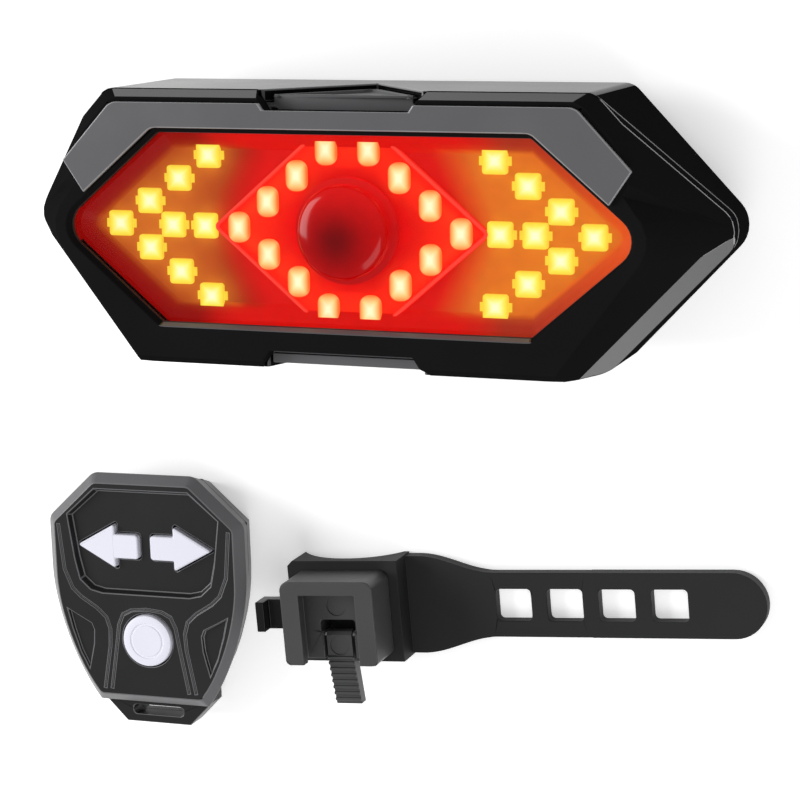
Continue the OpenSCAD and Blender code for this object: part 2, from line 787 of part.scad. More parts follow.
// Tray on the lamp board with a window for each lamp
module reflector_tray() {
    color([0.9, 0.55, 0.3])
    difference() {
        hexagon_slab(lens_outline, -lens_flange + board_gap, board_top_z, lens_back_z);
        hexagon_slab(lens_outline, tray_rim_inset, tray_floor_z, lens_back_z + eps);
        at_points(concat(arrow_points, mirrored(arrow_points), ring_points),
                  board_top_z + reflector_floor / 2)
            cube([lamp_window, lamp_window, reflector_floor + 2 * eps], center = true);
    }
}

// Red six-sided plate round the ring of lamps
module red_diffuser() {
    plate_t = 0.8;
    plate_tip_w = 4.8;
    plate_corner_w = 3;
    plate_r = 1;
    hole_margin = 1.2;
    plate = [ring_tip_x + plate_tip_w, lens_outline[1] - tray_rim_inset - eps,
             ring_tip_x - 3 * ring_step_x + plate_corner_w, plate_r, plate_r];
    color([0.85, 0.05, 0.05])
    difference() {
        hexagon_slab(plate, 0, tray_floor_z, tray_floor_z + plate_t);
        at_points(ring_points, tray_floor_z + plate_t / 2)
            cube([lamp_window, lamp_window, plate_t + 2 * eps], center = true);
        translate([0, 0, tray_floor_z - eps])
            cylinder(r = dome_r + hole_margin, h = plate_t + 2 * eps);
    }
}

// Circuit board behind the reflector
module lamp_board() {
    color([0.1, 0.35, 0.2])
    hexagon_slab(lens_outline, -lens_flange + board_gap, board_z, board_top_z);
}

module lamps(points) {
    at_points(points, board_top_z + led_t / 2)
        cube([led_size, led_size, led_t], center = true);
}

// Ring of red lamps
module red_lamps() {
    color([1, 0.8, 0.6])
    lamps(ring_points);
}

// Arrow of amber lamps on the left
module left_amber_lamps() {
    color([1, 0.8, 0.1])
    lamps(mirrored(arrow_points));
}

// Arrow of amber lamps on the right
module right_amber_lamps() {
    color([1, 0.8, 0.1])
    lamps(arrow_points);
}

// Round lithium cell along the light
module battery() {
    color([0.25, 0.45, 0.75])
    translate([0, 0, battery_z])
        rotate([0, 90, 0])
            cylinder(r = battery_r, h = battery_l, center = true);
}

// Nickel strips from the cell's ends to the lamp board
module battery_tabs() {
    tab_t = 0.3;
    tab_half_w = 3;
    color([0.75, 0.75, 0.7])
    for (side = [-1, 1])
        translate([side * (battery_l / 2 + tab_t / 2), 0, (battery_z + board_z) / 2])
            cube([tab_t, 2 * tab_half_w, board_z - battery_z], center = true);
}

// Radio receiver under the lamp board
module receiver_module() {
    size = [8, 10, 1.8];
    cell_gap = 3;
    color([0.15, 0.3, 0.5])
    translate([battery_l / 2 + cell_gap, -size[1] / 2, board_z - size[2]])
        cube(size);
}

// Push switch under the lamp board, behind the power button
module power_switch() {
    half_w = 3;
    body_h = 4.4;
    body_l = 5;
    plunger_r = 1.4;
    body_y = lens_outline[1] + lens_flange - board_gap;
    plunger_end_y = button_under_y - power_travel - eps;
    color([0.3, 0.3, 0.32])
    union() {
        box([-half_w, body_y - body_l, board_z - body_h], [half_w, body_y, board_z]);
        translate([0, body_y - eps, board_z - body_h / 2])
            rotate([-90, 0, 0])
                cylinder(r = plunger_r, h = plunger_end_y - body_y + eps);
    }
}

// Three-cornered rubber button with a dished top, held by a flange behind the wall
module power_button() {
    dish_r = 60;
    dish_sink = 0.5;
    dish_edge = 1.5;
    color([0.3, 0.3, 0.31])
    difference() {
        union() {
            side_slab(inner_half_h - eps, button_top_y, button_points(press_gap));
            intersection() {
                side_slab(button_under_y, inner_half_h, button_points(-button_flange_w));
                box([-relief_half_w, 0, 0], [relief_half_w, housing_half_h, rim_z - press_gap]);
            }
        }
        translate([0, button_top_y - dish_sink + dish_r, rim_z - button_pocket_l])
            cylinder(r = dish_r, h = button_pocket_l - dish_edge, $fn = 120);
    }
}

// Metal charging socket under the lamp board, facing the port cover
module charging_socket() {
    shell_t = 0.3;
    tongue_t = 0.7;
    tongue_side = 1.1;
    back_t = 1;
    half_w = port_w / 2;
    half_h = port_h / 2;
    color([0.75, 0.76, 0.78])
    union() {
        difference() {
            box([-half_w, port_mouth_y, port_z - half_h], [half_w, port_mouth_y + port_l, port_z + half_h]);
            box([-half_w + shell_t, port_mouth_y - eps, port_z - half_h + shell_t],
                [half_w - shell_t, port_mouth_y + port_l - back_t, port_z + half_h - shell_t]);
        }
        box([-half_w + tongue_side, port_mouth_y + back_t, port_z - tongue_t / 2],
            [half_w - tongue_side, port_mouth_y + port_l - back_t + eps, port_z + tongue_t / 2]);
    }
}

// Rubber flap over the charging socket, hinged at its back end
module port_cover() {
    plug_gap = 0.5;
    swing_gap = 1.2;
    knuckle_r = cover_t / 2;
    knuckle_half_l = cover_hinge_half_w - swing_gap;
    front_half_w = notch_half_w - cover_gap;
    color([0.2, 0.2, 0.21])
    union() {
        side_slab(cover_out_y, cover_in_y,
                  [[-front_half_w, rim_z - cover_gap], [-knuckle_half_l, cover_hinge_z],
                   [knuckle_half_l, cover_hinge_z], [front_half_w, rim_z - cover_gap]]);
        cover_axle(knuckle_half_l, knuckle_r);
        cover_axle(cover_hinge_half_w + cover_pin_l, cover_pin_r);
        box([-port_w / 2 + plug_gap, cover_in_y - eps, port_z - port_h / 2 + plug_gap],
            [port_w / 2 - plug_gap, port_mouth_y - hole_end, port_z + port_h / 2 - plug_gap]);
    }
}

// Screws from the housing's back into the bezel
module housing_screws() {
    color([0.7, 0.7, 0.72])
    four_corners(post_x, post_y) {
        translate([0, 0, screw_seat_z - screw_head_t])
            cylinder(r = screw_head_r, h = screw_head_t);
        translate([0, 0, screw_seat_z - eps])
            cylinder(r = screw_r, h = screw_tip_z - screw_seat_z + eps);
    }
}

// Remote's body outline: cut upper corners, straight sides and drawn-in lower sides
function remote_right_points() =
    concat(arc([remote_half_w - remote_side_r, remote_waist_y], remote_side_r, -remote_low_angle, 0),
           [[remote_half_w, remote_shoulder_y], [remote_top_half, remote_top_y]]);
function reversed(points) = [for (i = [len(points) - 1:-1:0]) points[i]];
remote_points = concat(remote_right_points(), reversed(mirrored(remote_right_points())));

// Outline of the dish under the arrow keys, straight at the top and rounded below
dish_top_drop = 2.55;
dish_top_inset = 0.6;
dish_side_inset = 4.15;
dish_side_rise = 0.9;
dish_foot_half_w = 9;
dish_foot_drop = 8.8;
dish_r = 4.6;
dish_right_points = concat([[remote_top_half - dish_top_inset, remote_top_y - dish_top_drop],
                            [remote_half_w - dish_side_inset, remote_shoulder_y + dish_side_rise]],
                           arc([dish_foot_half_w, arrow_y - dish_foot_drop + dish_r], dish_r, 0, -90));
dish_points = concat(reversed(dish_right_points), mirrored(dish_right_points));

// How far the tapered sides lie inside the remote's rim at a height
function remote_draft(z) = remote_taper * (1 - z / remote_rim_z);

module remote_outline(inset) {
    offset(delta = -inset)
        polygon(remote_points);
}

module remote_slab(inset, low, high) {
    translate([0, 0, low])
        linear_extrude(high - low)
            remote_outline(inset);
}

// Tapered block of the remote between two heights at or below its rim
module remote_block(low, high) {
    hull() {
        remote_slab(remote_draft(low), low, low + eps);
        remote_slab(remote_draft(high), high - eps, high);
    }
}

module lanyard_tab(low, high) {
    translate([0, 0, low])
        linear_extrude(high - low)
            polygon([[-tab_root_half_w, remote_low_y + tab_overlap], [-tab_root_half_w, remote_low_y],
                     [-tab_end_half_w, remote_low_y - tab_l], [tab_end_half_w, remote_low_y - tab_l],
                     [tab_root_half_w, remote_low_y], [tab_root_half_w, remote_low_y + tab_overlap]]);
}

module lanyard_slot() {
    end_x = (lanyard_slot_w - lanyard_slot_h) / 2;
    box([-end_x, slot_y - lanyard_slot_h / 2, -eps], [end_x, slot_y + lanyard_slot_h / 2, remote_front_z]);
    for (side = [-1, 1])
        translate([side * end_x, slot_y, -eps])
            cylinder(r = lanyard_slot_h / 2, h = remote_front_z);
}

module remote_screw_places() {
    for (i = [0, 1], side = [-1, 1])
        translate([side * remote_screw_x[i], remote_screw_y[i], 0])
            children();
}

// Wedges that place the battery door's lugs, or the notches that let them in
module lug_wedges(turn, half_angle) {
    reach = door_r + 5;
    for (i = [0:2])
        rotate([0, 0, 120 * i + turn])
            polygon([[0, 0], [reach * cos(half_angle), -reach * sin(half_angle)],
                     [reach * cos(half_angle), reach * sin(half_angle)]]);
}

// Arrow outline pointing left, with its shaft's end at the key gap
function arrow_outline() =
    let (end = -arrow_gap / 2, neck = end - arrow_shaft_l, tip = neck - arrow_head_l)
    [[end, -arrow_shaft_h / 2], [end, arrow_shaft_h / 2], [neck, arrow_shaft_h / 2],
     [neck, arrow_head_h / 2], [tip, 0], [neck, -arrow_head_h / 2], [neck, -arrow_shaft_h / 2]];

module arrow_slab(grow, low, high) {
    translate([0, arrow_y, low])
        linear_extrude(high - low)
            offset(delta = grow)
                polygon(arrow_outline());
}

// Remote's lower shell with the battery door's round hole and the screw posts
module remote_back_shell() {
    lug_gap = 0.2;
    notch_half_angle = 14;
    head_gap = 0.2;
    color([0.15, 0.15, 0.16])
    place_remote()
    difference() {
        union() {
            difference() {
                remote_block(0, remote_back_h);
                remote_slab(remote_wall + remote_draft(remote_floor_t), remote_floor_t, remote_back_h + eps);
            }
            remote_screw_places()
                translate([0, 0, remote_floor_t - eps])
                    cylinder(r = remote_post_r, h = remote_board_z - remote_floor_t + eps);
            lanyard_tab(tab_low_z, remote_back_h);
        }
        lanyard_slot();
        translate([0, door_y, -eps]) {
            cylinder(r = door_r + lug_gap, h = remote_back_h + eps);
            translate([0, 0, lug_low_z + eps - lug_gap])
                cylinder(r = door_r + lug_reach + lug_gap, h = lug_t + 2 * lug_gap);
            linear_extrude(lug_low_z)
                intersection() {
                    circle(r = door_r + lug_reach + lug_gap);
                    lug_wedges(60, notch_half_angle);
                }
        }
        remote_screw_places() {
            translate([0, 0, -eps])
                cylinder(r = remote_screw_head_r + head_gap, h = eps + remote_screw_sink + remote_screw_head_t);
            cylinder(r = remote_screw_r + pin_gap, h = remote_front_z);
        }
    }
}

// Remote's upper shell with a bevelled rim, a dish for the arrow keys and holes for all keys
module remote_top_shell() {
    color([0.17, 0.17, 0.18])
    place_remote()
    difference() {
        union() {
            difference() {
                union() {
                    remote_block(remote_back_h, remote_rim_z);
                    hull() {
                        remote_slab(0, remote_rim_z - eps, remote_rim_z);
                        remote_slab(remote_bevel, remote_front_z - eps, remote_front_z);
                    }
                }
                remote_slab(remote_wall + remote_draft(remote_back_h), remote_back_h - eps, face_under_z);
            }
            remote_screw_places()
                translate([0, 0, remote_board_top_z])
                    cylinder(r = remote_post_r, h = face_under_z - remote_board_top_z + eps);
            lanyard_tab(remote_back_h, tab_high_z);
        }
        translate([0, 0, dish_z])
            linear_extrude(dish_depth + eps)
                polygon(dish_points);
        arrow_slab(key_gap, face_under_z - eps, remote_front_z);
        mirror([1, 0, 0])
            arrow_slab(key_gap, face_under_z - eps, remote_front_z);
        translate([0, mode_y, face_under_z - eps])
            cylinder(r = mode_r + key_gap, h = remote_front_z);
        lanyard_slot();
        remote_screw_places()
            cylinder(r = remote_screw_r + pin_gap, h = remote_screw_tip_z + hole_end);
    }
}

module left_arrow_shape() {
    arrow_slab(0, key_under_z, dish_z + key_proud);
    arrow_slab(key_flange_w, key_under_z, face_under_z);
}

// Left arrow key
module left_arrow_key() {
    color([0.9, 0.9, 0.95])
    place_remote()
        left_arrow_shape();
}

// Right arrow key
module right_arrow_key() {
    color([0.9, 0.9, 0.95])
    place_remote()
        mirror([1, 0, 0])
            left_arrow_shape();
}

// Round key below the arrows
module mode_key() {
    color([0.9, 0.9, 0.95])
    place_remote()
        translate([0, mode_y, 0]) {
            translate([0, 0, key_under_z])
                cylinder(r = mode_r, h = remote_front_z + mode_proud - key_under_z);
            translate([0, 0, key_under_z])
                cylinder(r = mode_r + key_flange_w, h = key_flange_t);
        }
}

// Remote's circuit board, clamped between the two shells' posts
module remote_board() {
    color([0.1, 0.35, 0.2])
    place_remote()
    difference() {
        remote_slab(remote_wall + remote_draft(remote_back_h) + 2 * board_gap, remote_board_z, remote_board_top_z);
        remote_screw_places()
            translate([0, 0, remote_board_z - eps])
                cylinder(r = remote_screw_r + board_gap, h = remote_board_t + 2 * eps);
    }
}

// Snap domes under the three keys
module dome_switches() {
    neck_offset = 1;
    key_x = arrow_gap / 2 + arrow_shaft_l + neck_offset;
    color([0.8, 0.8, 0.8])
    place_remote()
    at_points([[-key_x, arrow_y], [key_x, arrow_y], [0, mode_y]], remote_board_top_z)
        cylinder(r = dome_switch_r, h = dome_t);
}

// Spring contact between the coin cell and the board
module coin_cell_clip() {
    color([0.75, 0.75, 0.7])
    place_remote()
    box([-clip_l / 2, door_y - clip_w / 2, coin_top_z], [clip_l / 2, door_y + clip_w / 2, remote_board_z]);
}

// Coin cell inside the battery door
module remote_coin_cell() {
    color([0.8, 0.8, 0.82])
    place_remote()
    translate([0, door_y, coin_z])
        cylinder(r = coin_r, h = coin_t);
}

// Round door in the remote's back, held by three lugs and turned with a coin
module battery_door() {
    coin_slot = [7, 1.6, 0.7];
    lug_half_angle = 11;
    color([0.16, 0.16, 0.17])
    place_remote()
    translate([0, door_y, 0])
    difference() {
        union() {
            translate([0, 0, door_low_z])
                cylinder(r = door_r, h = door_t);
            translate([0, 0, lug_low_z])
                linear_extrude(lug_t)
                    intersection() {
                        circle(r = door_r + lug_reach);
                        lug_wedges(0, lug_half_angle);
                    }
        }
        translate([0, 0, door_low_z])
            cube([2 * coin_slot[0], coin_slot[1], 2 * coin_slot[2]], center = true);
    }
}

// Soft ring on the battery door round the coin cell
module door_seal() {
    cell_gap = 0.4;
    color([0.05, 0.05, 0.05])
    place_remote()
    translate([0, door_y, door_low_z + door_t])
    difference() {
        cylinder(r = door_r - eps, h = seal_t);
        translate([0, 0, -eps])
            cylinder(r = coin_r + cell_gap, h = seal_t + 2 * eps);
    }
}

// Screws from the remote's back shell into its top shell
module remote_screws() {
    color([0.7, 0.7, 0.72])
    place_remote()
    remote_screw_places() {
        translate([0, 0, remote_screw_sink])
            cylinder(r = remote_screw_head_r, h = remote_screw_head_t);
        translate([0, 0, remote_screw_sink + eps])
            cylinder(r = remote_screw_r, h = remote_screw_tip_z - remote_screw_sink - eps);
    }
}

// Socket for the light's foot, with a strap hook on its left and a slot for the lever
module bracket_body() {
    hook_z = pad_z;
    hook_end = -bracket_half_w - hook_l;
    slit_half_w = lever_w / 2 + lever_slit;
    color([0.2, 0.2, 0.21])
    place_mount()
    difference() {
        union() {
            box([-bracket_half_w, -bracket_half_l, pad_z], [bracket_half_w, bracket_half_l, socket_z]);
            box([-bracket_half_w, socket_end_y, socket_z - eps],
                [bracket_half_w, bracket_half_l, bracket_top_z]);
            for (side = [-1, 1]) {
                wall_x = side * (slot_half_w + bracket_half_w) / 2;
                lip_x = side * (lip_half_w + bracket_half_w) / 2;
                translate([wall_x, 0, (socket_z - eps + bracket_top_z) / 2])
                    cube([bracket_wall, bracket_l, bracket_top_z - socket_z + eps], center = true);
                translate([lip_x, 0, (lip_z + bracket_top_z) / 2])
                    cube([bracket_half_w - lip_half_w, bracket_l, bracket_lip_t], center = true);
            }
            box([hook_end, -hook_w / 2, hook_z], [-bracket_half_w + eps, hook_w / 2, hook_z + hook_t]);
            box([hook_end, -hook_w / 2, hook_z],
                [hook_end + hook_lip_t, hook_w / 2, hook_z + hook_t + hook_lip_h]);
        }
        box([-slit_half_w, -bracket_half_l - eps, pad_z - eps], [slit_half_w, lever_top_y, socket_z + eps]);
        box([-slit_half_w - lever_window_side, lever_top_y - eps, pad_z - eps],
            [slit_half_w + lever_window_side, lever_window_y, socket_z + eps]);
        lever_axle(-bracket_half_w - eps, lever_pin_half_l + hole_end, lever_pin_r + pin_gap);
    }
}

module lever_axle(from, to, r) {
    translate([from, lever_pivot_y, lever_pivot_z])
        rotate([0, 90, 0])
            cylinder(r = r, h = to - from);
}

// Latch lever with a ribbed thumb tab
module release_lever() {
    half_w = lever_w / 2;
    tab_half_w = half_w + lever_tab_flare;
    tab_y = -bracket_half_l - eps;
    color([0.18, 0.18, 0.19])
    place_mount()
    difference() {
        union() {
            box([-half_w, tab_y, socket_z - lever_t], [half_w, lever_pivot_y, socket_z]);
            lever_axle(-half_w, half_w, lever_t / 2);
            box([-half_w, -bracket_half_l, socket_z - eps],
                [half_w, -bracket_half_l + latch_l, socket_z + latch_h]);
            hull() {
                box([-tab_half_w, tab_y - eps, socket_z - lever_tab_t], [tab_half_w, tab_y, socket_z]);
                box([-tab_half_w, tab_y - lever_tab_l, socket_z - lever_drop - lever_tab_t],
                    [tab_half_w, tab_y - lever_tab_l + eps, socket_z - lever_drop]);
            }
            for (i = [1:lever_ribs]) {
                share = i / (lever_ribs + 0.5);
                translate([0, tab_y - lever_tab_l * share, socket_z - lever_drop * share])
                    rotate([0, 90, 0])
                        cylinder(r = lever_rib_r, h = 2 * tab_half_w, center = true);
            }
        }
        lever_axle(-half_w - eps, half_w + eps, lever_pin_r + pin_gap);
    }
}

// Steel pin that the lever rocks on
module lever_pin() {
    color([0.75, 0.76, 0.78])
    place_mount()
    lever_axle(-lever_pin_half_l, lever_pin_half_l, lever_pin_r);
}

// Flat stretch of strap between two places, with its holes
module strap_stretch(from, to, holes) {
    steps = 12;
    stations = [for (i = [0:steps]) from + (to - from) * i / steps];
    difference() {
        linear_extrude(strap_t)
            polygon(concat([for (x = stations) [x, -strap_half_w(x)]],
                           [for (x = reversed(stations)) [x, strap_half_w(x)]]));
        for (i = holes)
            translate([first_hole_x + i * strap_pitch, 0, -eps])
                strap_hole_cut();
    }
}

module strap_hole_cut() {
    corner = [strap_hole_l / 2 - strap_hole_r, strap_hole_w / 2 - strap_hole_r];
    linear_extrude(strap_t + 2 * eps)
        union() {
            square([strap_hole_l, 2 * corner[1]], center = true);
            square([2 * corner[0], strap_hole_w], center = true);
            for (sx = [-1, 1], sy = [-1, 1])
                translate([sx * corner[0], sy * corner[1]])
                    circle(r = strap_hole_r);
        }
}

// Soft saddle for the post, in one moulding with the strap's wide root
module strap_base() {
    corner_cut = saddle_edge;
    half_l = strap_root_w / 2;
    color([0.14, 0.14, 0.14])
    place_mount()
    union() {
        difference() {
            linear_extrude(pad_z)
                polygon([[-saddle_half_w, -half_l + corner_cut], [-saddle_half_w + corner_cut, -half_l],
                         [saddle_half_w, -half_l], [saddle_half_w, half_l],
                         [-saddle_half_w + corner_cut, half_l], [-saddle_half_w, half_l - corner_cut]]);
            translate([0, 0, saddle_depth - post_r])
                rotate([90, 0, 0])
                    cylinder(r = post_r, h = 2 * strap_root_w, center = true, $fn = 96);
        }
        strap_stretch(saddle_half_w - eps, bend_x[0], []);
    }
}

// Strap from the first bend to the second
module strap_near() {
    color([0.14, 0.14, 0.14])
    place_mount()
    strap_stretch(bend_x[0], bend_x[1], [0]);
}

// Strap from the second bend to the third
module strap_middle() {
    color([0.14, 0.14, 0.14])
    place_mount()
    strap_stretch(bend_x[1], bend_x[2], [1, 2]);
}

// Rounded end of the strap
module strap_tip() {
    round_x = strap_end_x - strap_w / 2;
    color([0.14, 0.14, 0.14])
    place_mount()
    union() {
        strap_stretch(bend_x[2], round_x, [3]);
        intersection() {
            translate([round_x, 0, 0])
                cylinder(r = strap_w / 2, h = strap_t);
            box([round_x - eps, -strap_w, 0], [strap_end_x + 1, strap_w, strap_t]);
        }
    }
}

rear_housing();
mount_foot();
foot_screws();
front_bezel();
upper_trim();
lens();
lens_gasket();
center_dome();
reflector_tray();
red_diffuser();
lamp_board();
red_lamps();
left_amber_lamps();
right_amber_lamps();
battery();
battery_tabs();
receiver_module();
power_switch();
power_button();
charging_socket();
port_cover();
housing_screws();
remote_back_shell();
remote_top_shell();
left_arrow_key();
right_arrow_key();
mode_key();
remote_board();
dome_switches();
coin_cell_clip();
remote_coin_cell();
battery_door();
door_seal();
remote_screws();
bracket_body();
release_lever();
lever_pin();
strap_base();
strap_near();
strap_middle();
strap_tip();
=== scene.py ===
import math

import bmesh
import bpy
from mathutils import Matrix, Vector


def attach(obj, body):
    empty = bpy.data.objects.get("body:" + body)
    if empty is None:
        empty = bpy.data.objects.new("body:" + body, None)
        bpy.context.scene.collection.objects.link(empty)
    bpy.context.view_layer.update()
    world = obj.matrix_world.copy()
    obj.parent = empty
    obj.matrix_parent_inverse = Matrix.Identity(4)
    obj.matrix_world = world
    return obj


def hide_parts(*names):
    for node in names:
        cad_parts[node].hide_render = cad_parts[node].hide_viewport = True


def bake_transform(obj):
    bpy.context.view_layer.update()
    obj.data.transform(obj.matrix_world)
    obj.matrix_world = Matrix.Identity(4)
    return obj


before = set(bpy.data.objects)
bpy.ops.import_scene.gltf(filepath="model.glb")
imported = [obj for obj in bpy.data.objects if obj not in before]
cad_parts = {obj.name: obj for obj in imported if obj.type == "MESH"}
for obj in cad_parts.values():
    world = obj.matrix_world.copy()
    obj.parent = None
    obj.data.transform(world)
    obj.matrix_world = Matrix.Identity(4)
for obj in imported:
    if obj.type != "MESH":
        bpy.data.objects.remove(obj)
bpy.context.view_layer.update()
scene = bpy.context.scene
scene.view_settings.view_transform = "Standard"

# Camera: it looks down on the set from the light's upper right, through a long lens,
# so that the six-sided face shows its top edge and its right flank.
CAMERA_AT = Vector((0.1346, 0.0468, 0.3830))
CAMERA_BACK = Vector((0.331, 0.193, 0.924)).normalized()
CAMERA_SIDE = Vector((0.9422, -0.0126, -0.3349))


def linked(name, data):
    """A new object in the scene."""
    made = bpy.data.objects.new(name, data)
    scene.collection.objects.link(made)
    return made


camera_data = bpy.data.cameras.new("camera")
camera_data.lens = 108
camera_data.sensor_width = 36
camera_data.clip_start = 0.01
camera_right = (CAMERA_SIDE - CAMERA_BACK * CAMERA_SIDE.dot(CAMERA_BACK)).normalized()
camera_axes = Matrix((camera_right, CAMERA_BACK.cross(camera_right), CAMERA_BACK)).transposed()
scene.camera = linked("camera", camera_data)
scene.camera.matrix_world = Matrix.Translation(CAMERA_AT) @ camera_axes.to_4x4()

# Studio: a plain white floor under the set and two large soft boxes.
# The key stands at the left and the weaker fill at the front right, so the right flank stays dark.
FLOOR_SIZE, FLOOR_SINK, FLOOR_SHADE, FLOOR_GLOW = 2.4, 0.0002, 0.9, 0.45
AIR_SHADE = 0.42
SOFT_BOXES = (("key_box", (-0.75, 0.1, 0.5), (0, -0.02, 0), 0.5, 6.0),
              ("fill_box", (0.3, -0.5, 0.7), (0, -0.03, 0), 0.6, 3.0))
BSDF, OUTPUT = "Principled BSDF", "Material Output"


def grey(value):
    return value, value, value, 1


def node_material(name, parts, links):
    """A material of nodes, whose settings have lower-case names and whose sockets have others."""
    material = bpy.data.materials.new(name)
    material.use_nodes = True
    nodes = material.node_tree.nodes
    if BSDF not in parts:
        nodes.remove(nodes[BSDF])
    for part, (kind, values) in parts.items():
        node = nodes[part] if part in nodes else nodes.new("ShaderNode" + kind)
        node.name = part
        for key, value in values.items():
            if str(key).islower():
                setattr(node, key, value)
            else:
                node.inputs[key].default_value = value
    for start, outlet, end, inlet in links:
        material.node_tree.links.new(nodes[start].outputs[outlet], nodes[end].inputs[inlet])
    return material


floor_mesh = bpy.data.meshes.new("studio_floor")
bm = bmesh.new()
bmesh.ops.create_grid(bm, x_segments=1, y_segments=1, size=FLOOR_SIZE)
bmesh.ops.translate(bm, verts=bm.verts, vec=(0, 0, -FLOOR_SINK))
bm.to_mesh(floor_mesh)
bm.free()
floor = linked("studio_floor", floor_mesh)
floor_mesh.materials.append(node_material("floor_paint", {
    "paint": ("BsdfDiffuse", {"Color": grey(FLOOR_SHADE)}),
    "seen": ("Emission", {"Color": grey(1), "Strength": FLOOR_GLOW}),
    "path": ("LightPath", {}),
    "either": ("Math", {"operation": "MAXIMUM"}),
    "any_view": ("Math", {"operation": "MAXIMUM"}),
    "both": ("AddShader", {}),
    "pick": ("MixShader", {}),
}, [
    ("path", "Is Camera Ray", "either", 0), ("path", "Is Glossy Ray", "either", 1),
    ("either", 0, "any_view", 0), ("path", "Is Transmission Ray", "any_view", 1),
    ("paint", 0, "both", 0), ("seen", 0, "both", 1), ("any_view", 0, "pick", "Fac"),
    ("paint", 0, "pick", 1), ("both", 0, "pick", 2), ("pick", 0, OUTPUT, "Surface")]))
for name, at, aim, size, power in SOFT_BOXES:
    lamp = bpy.data.lights.new(name, "AREA")
    lamp.shape, lamp.size, lamp.energy = "SQUARE", size, power
    away = (Vector(at) - Vector(aim)).normalized()
    turn = away.to_track_quat("Z", "Y").to_matrix().to_4x4()
    linked(name, lamp).matrix_world = Matrix.Translation(Vector(at)) @ turn
scene.world = bpy.data.worlds.new("studio_air")
scene.world.use_nodes = True
scene.world.node_tree.nodes["Background"].inputs["Color"].default_value = grey(AIR_SHADE)

# Rear housing: a deep six-sided tub, injection moulded in glossy black plastic.
# Its wall has a three-cornered pocket for the power button and one for the port cover.
MM = 0.001
HOUSING = (61.4, 22.2, 40.6, 5.0, 3.0)
CAVITY = (51.0, 20.2, 30.0, 3.0, 1.0)
LEAST_ROUND = 0.4
BACK_Z, BACK_FLOOR_Z, RIM_Z, BACK_BEVEL = 5.0, 7.0, 32.4, 3.0
NOTCH_HALF_W, NOTCH_OUT_Y = 13.2, 23.2
BUTTON_APEX_Z, BUTTON_FLOOR_Y = 15.9, 20.1
COVER_HINGE_HALF_W, COVER_POCKET_Z, COVER_FLOOR_Y = 8.0, 16.9, -19.8
SCREW_PLACES = [(sx * 38.49, sy * 14.5) for sx in (-1, 1) for sy in (-1, 1)]
SCREW_POST, SCREW_POST_Z = (3.3, 6.6), 10.2
SCREW_BORE, SCREW_BORE_Z = (2.1, 7.5), 8.25
PORT_WALL_X, PORT_WALL_Y, PORT_WALL_Z = (-15.2, 15.2), (-20.6, -18.2), (14.9, RIM_Z - 0.1)
PORT_X, PORT_Y, PORT_Z = (-4.72, 4.72), (-20.2, -17.8), (22.9, 26.65)
TIP_X, END_Z, END_RISE, END_SKEW = 59.55, 22.0, 1.5, 1.12
END_ROUND = ((0.0, 2.24), (0.56, 1.68), (END_SKEW, 0.0))
STEP_X, STEP_Y, STEP_Z, STEP_TURN = 45.88, 7.51, 35.0, math.radians(56)
CAP_T = 1.8
DRIFT_SIZE = 14
BLOCK_SIZE = 160


def tone(red, green, blue):
    """A screen colour, 0 to 255, in the linear values of shaders."""
    def linear(value):
        value /= 255
        return value / 12.92 if value <= 0.04045 else ((value + 0.055) / 1.055) ** 2.4
    return linear(red), linear(green), linear(blue), 1.0


def moulded(name, colour, roughness, spread, grain, relief, ior=1.45, gloss=0.5, metal=0):
    """A moulded finish: colour and roughness that drift, and a fine grain in relief, in mm."""
    return node_material(name, {
        BSDF: ("", {"IOR": ior, "Specular IOR Level": gloss, "Metallic": metal}),
        "place": ("TexCoord", {}),
        "drift": ("TexNoise", {"Scale": 1 / (DRIFT_SIZE * MM), "Detail": 3}),
        "fine": ("TexNoise", {"Scale": 1 / (grain * MM), "Detail": 2}),
        "shade": ("Mix", {
            "data_type": "RGBA",
            6: [c * (1 - spread) for c in colour[:3]] + [1],
            7: [min(1, c * (1 + spread)) for c in colour[:3]] + [1]}),
        "polish": ("MapRange", {"To Min": roughness * 0.8, "To Max": min(1, roughness * 1.25)}),
        "bump": ("Bump", {"Strength": 1.0, "Distance": relief * MM}),
    }, [
        ("place", "Object", "drift", "Vector"), ("place", "Object", "fine", "Vector"),
        ("drift", "Fac", "shade", "Factor"), ("shade", 2, BSDF, "Base Color"),
        ("drift", "Fac", "polish", "Value"), ("polish", "Result", BSDF, "Roughness"),
        ("fine", "Fac", "bump", "Height"), ("bump", "Normal", BSDF, "Normal")])


def rounded_face(bm, points, *roundings):
    """A flat face; a rounding is the corners' numbers, a reach and steps."""
    known = set(bm.faces)
    verts = [bm.verts.new(point) for point in points]
    bm.faces.new(verts)
    for picked, reach, steps in roundings:
        bmesh.ops.bevel(bm, geom=[verts[i] for i in picked], offset=reach, affect="VERTICES",
                        segments=steps, profile=0.5, material=-1)
    return next(f for f in bm.faces if f not in known)


def slant_of(outline):
    """How far the ends of a six-sided outline lean."""
    return math.atan2(outline[0] - outline[2], outline[1])


def six_sided_face(bm, outline, z, inset=0.0):
    """A flat long hexagon with rounded tips and corners, drawn in by an inset."""
    half_w, half_h, _, tip_r, corner_r = outline
    slant = slant_of(outline)
    w = half_w - inset / math.cos(slant)
    h = half_h - inset
    edge = w - h * math.tan(slant)
    tip_reach = max(tip_r - inset, LEAST_ROUND) * math.tan(slant)
    corner_reach = max(corner_r - inset, LEAST_ROUND) * math.tan((math.pi / 2 - slant) / 2)
    points = ((w, 0, z), (edge, h, z), (-edge, h, z), (-w, 0, z), (-edge, -h, z), (edge, -h, z))
    return rounded_face(bm, points, ((0, 3), tip_reach, 8), ((1, 2, 4, 5), corner_reach, 8))


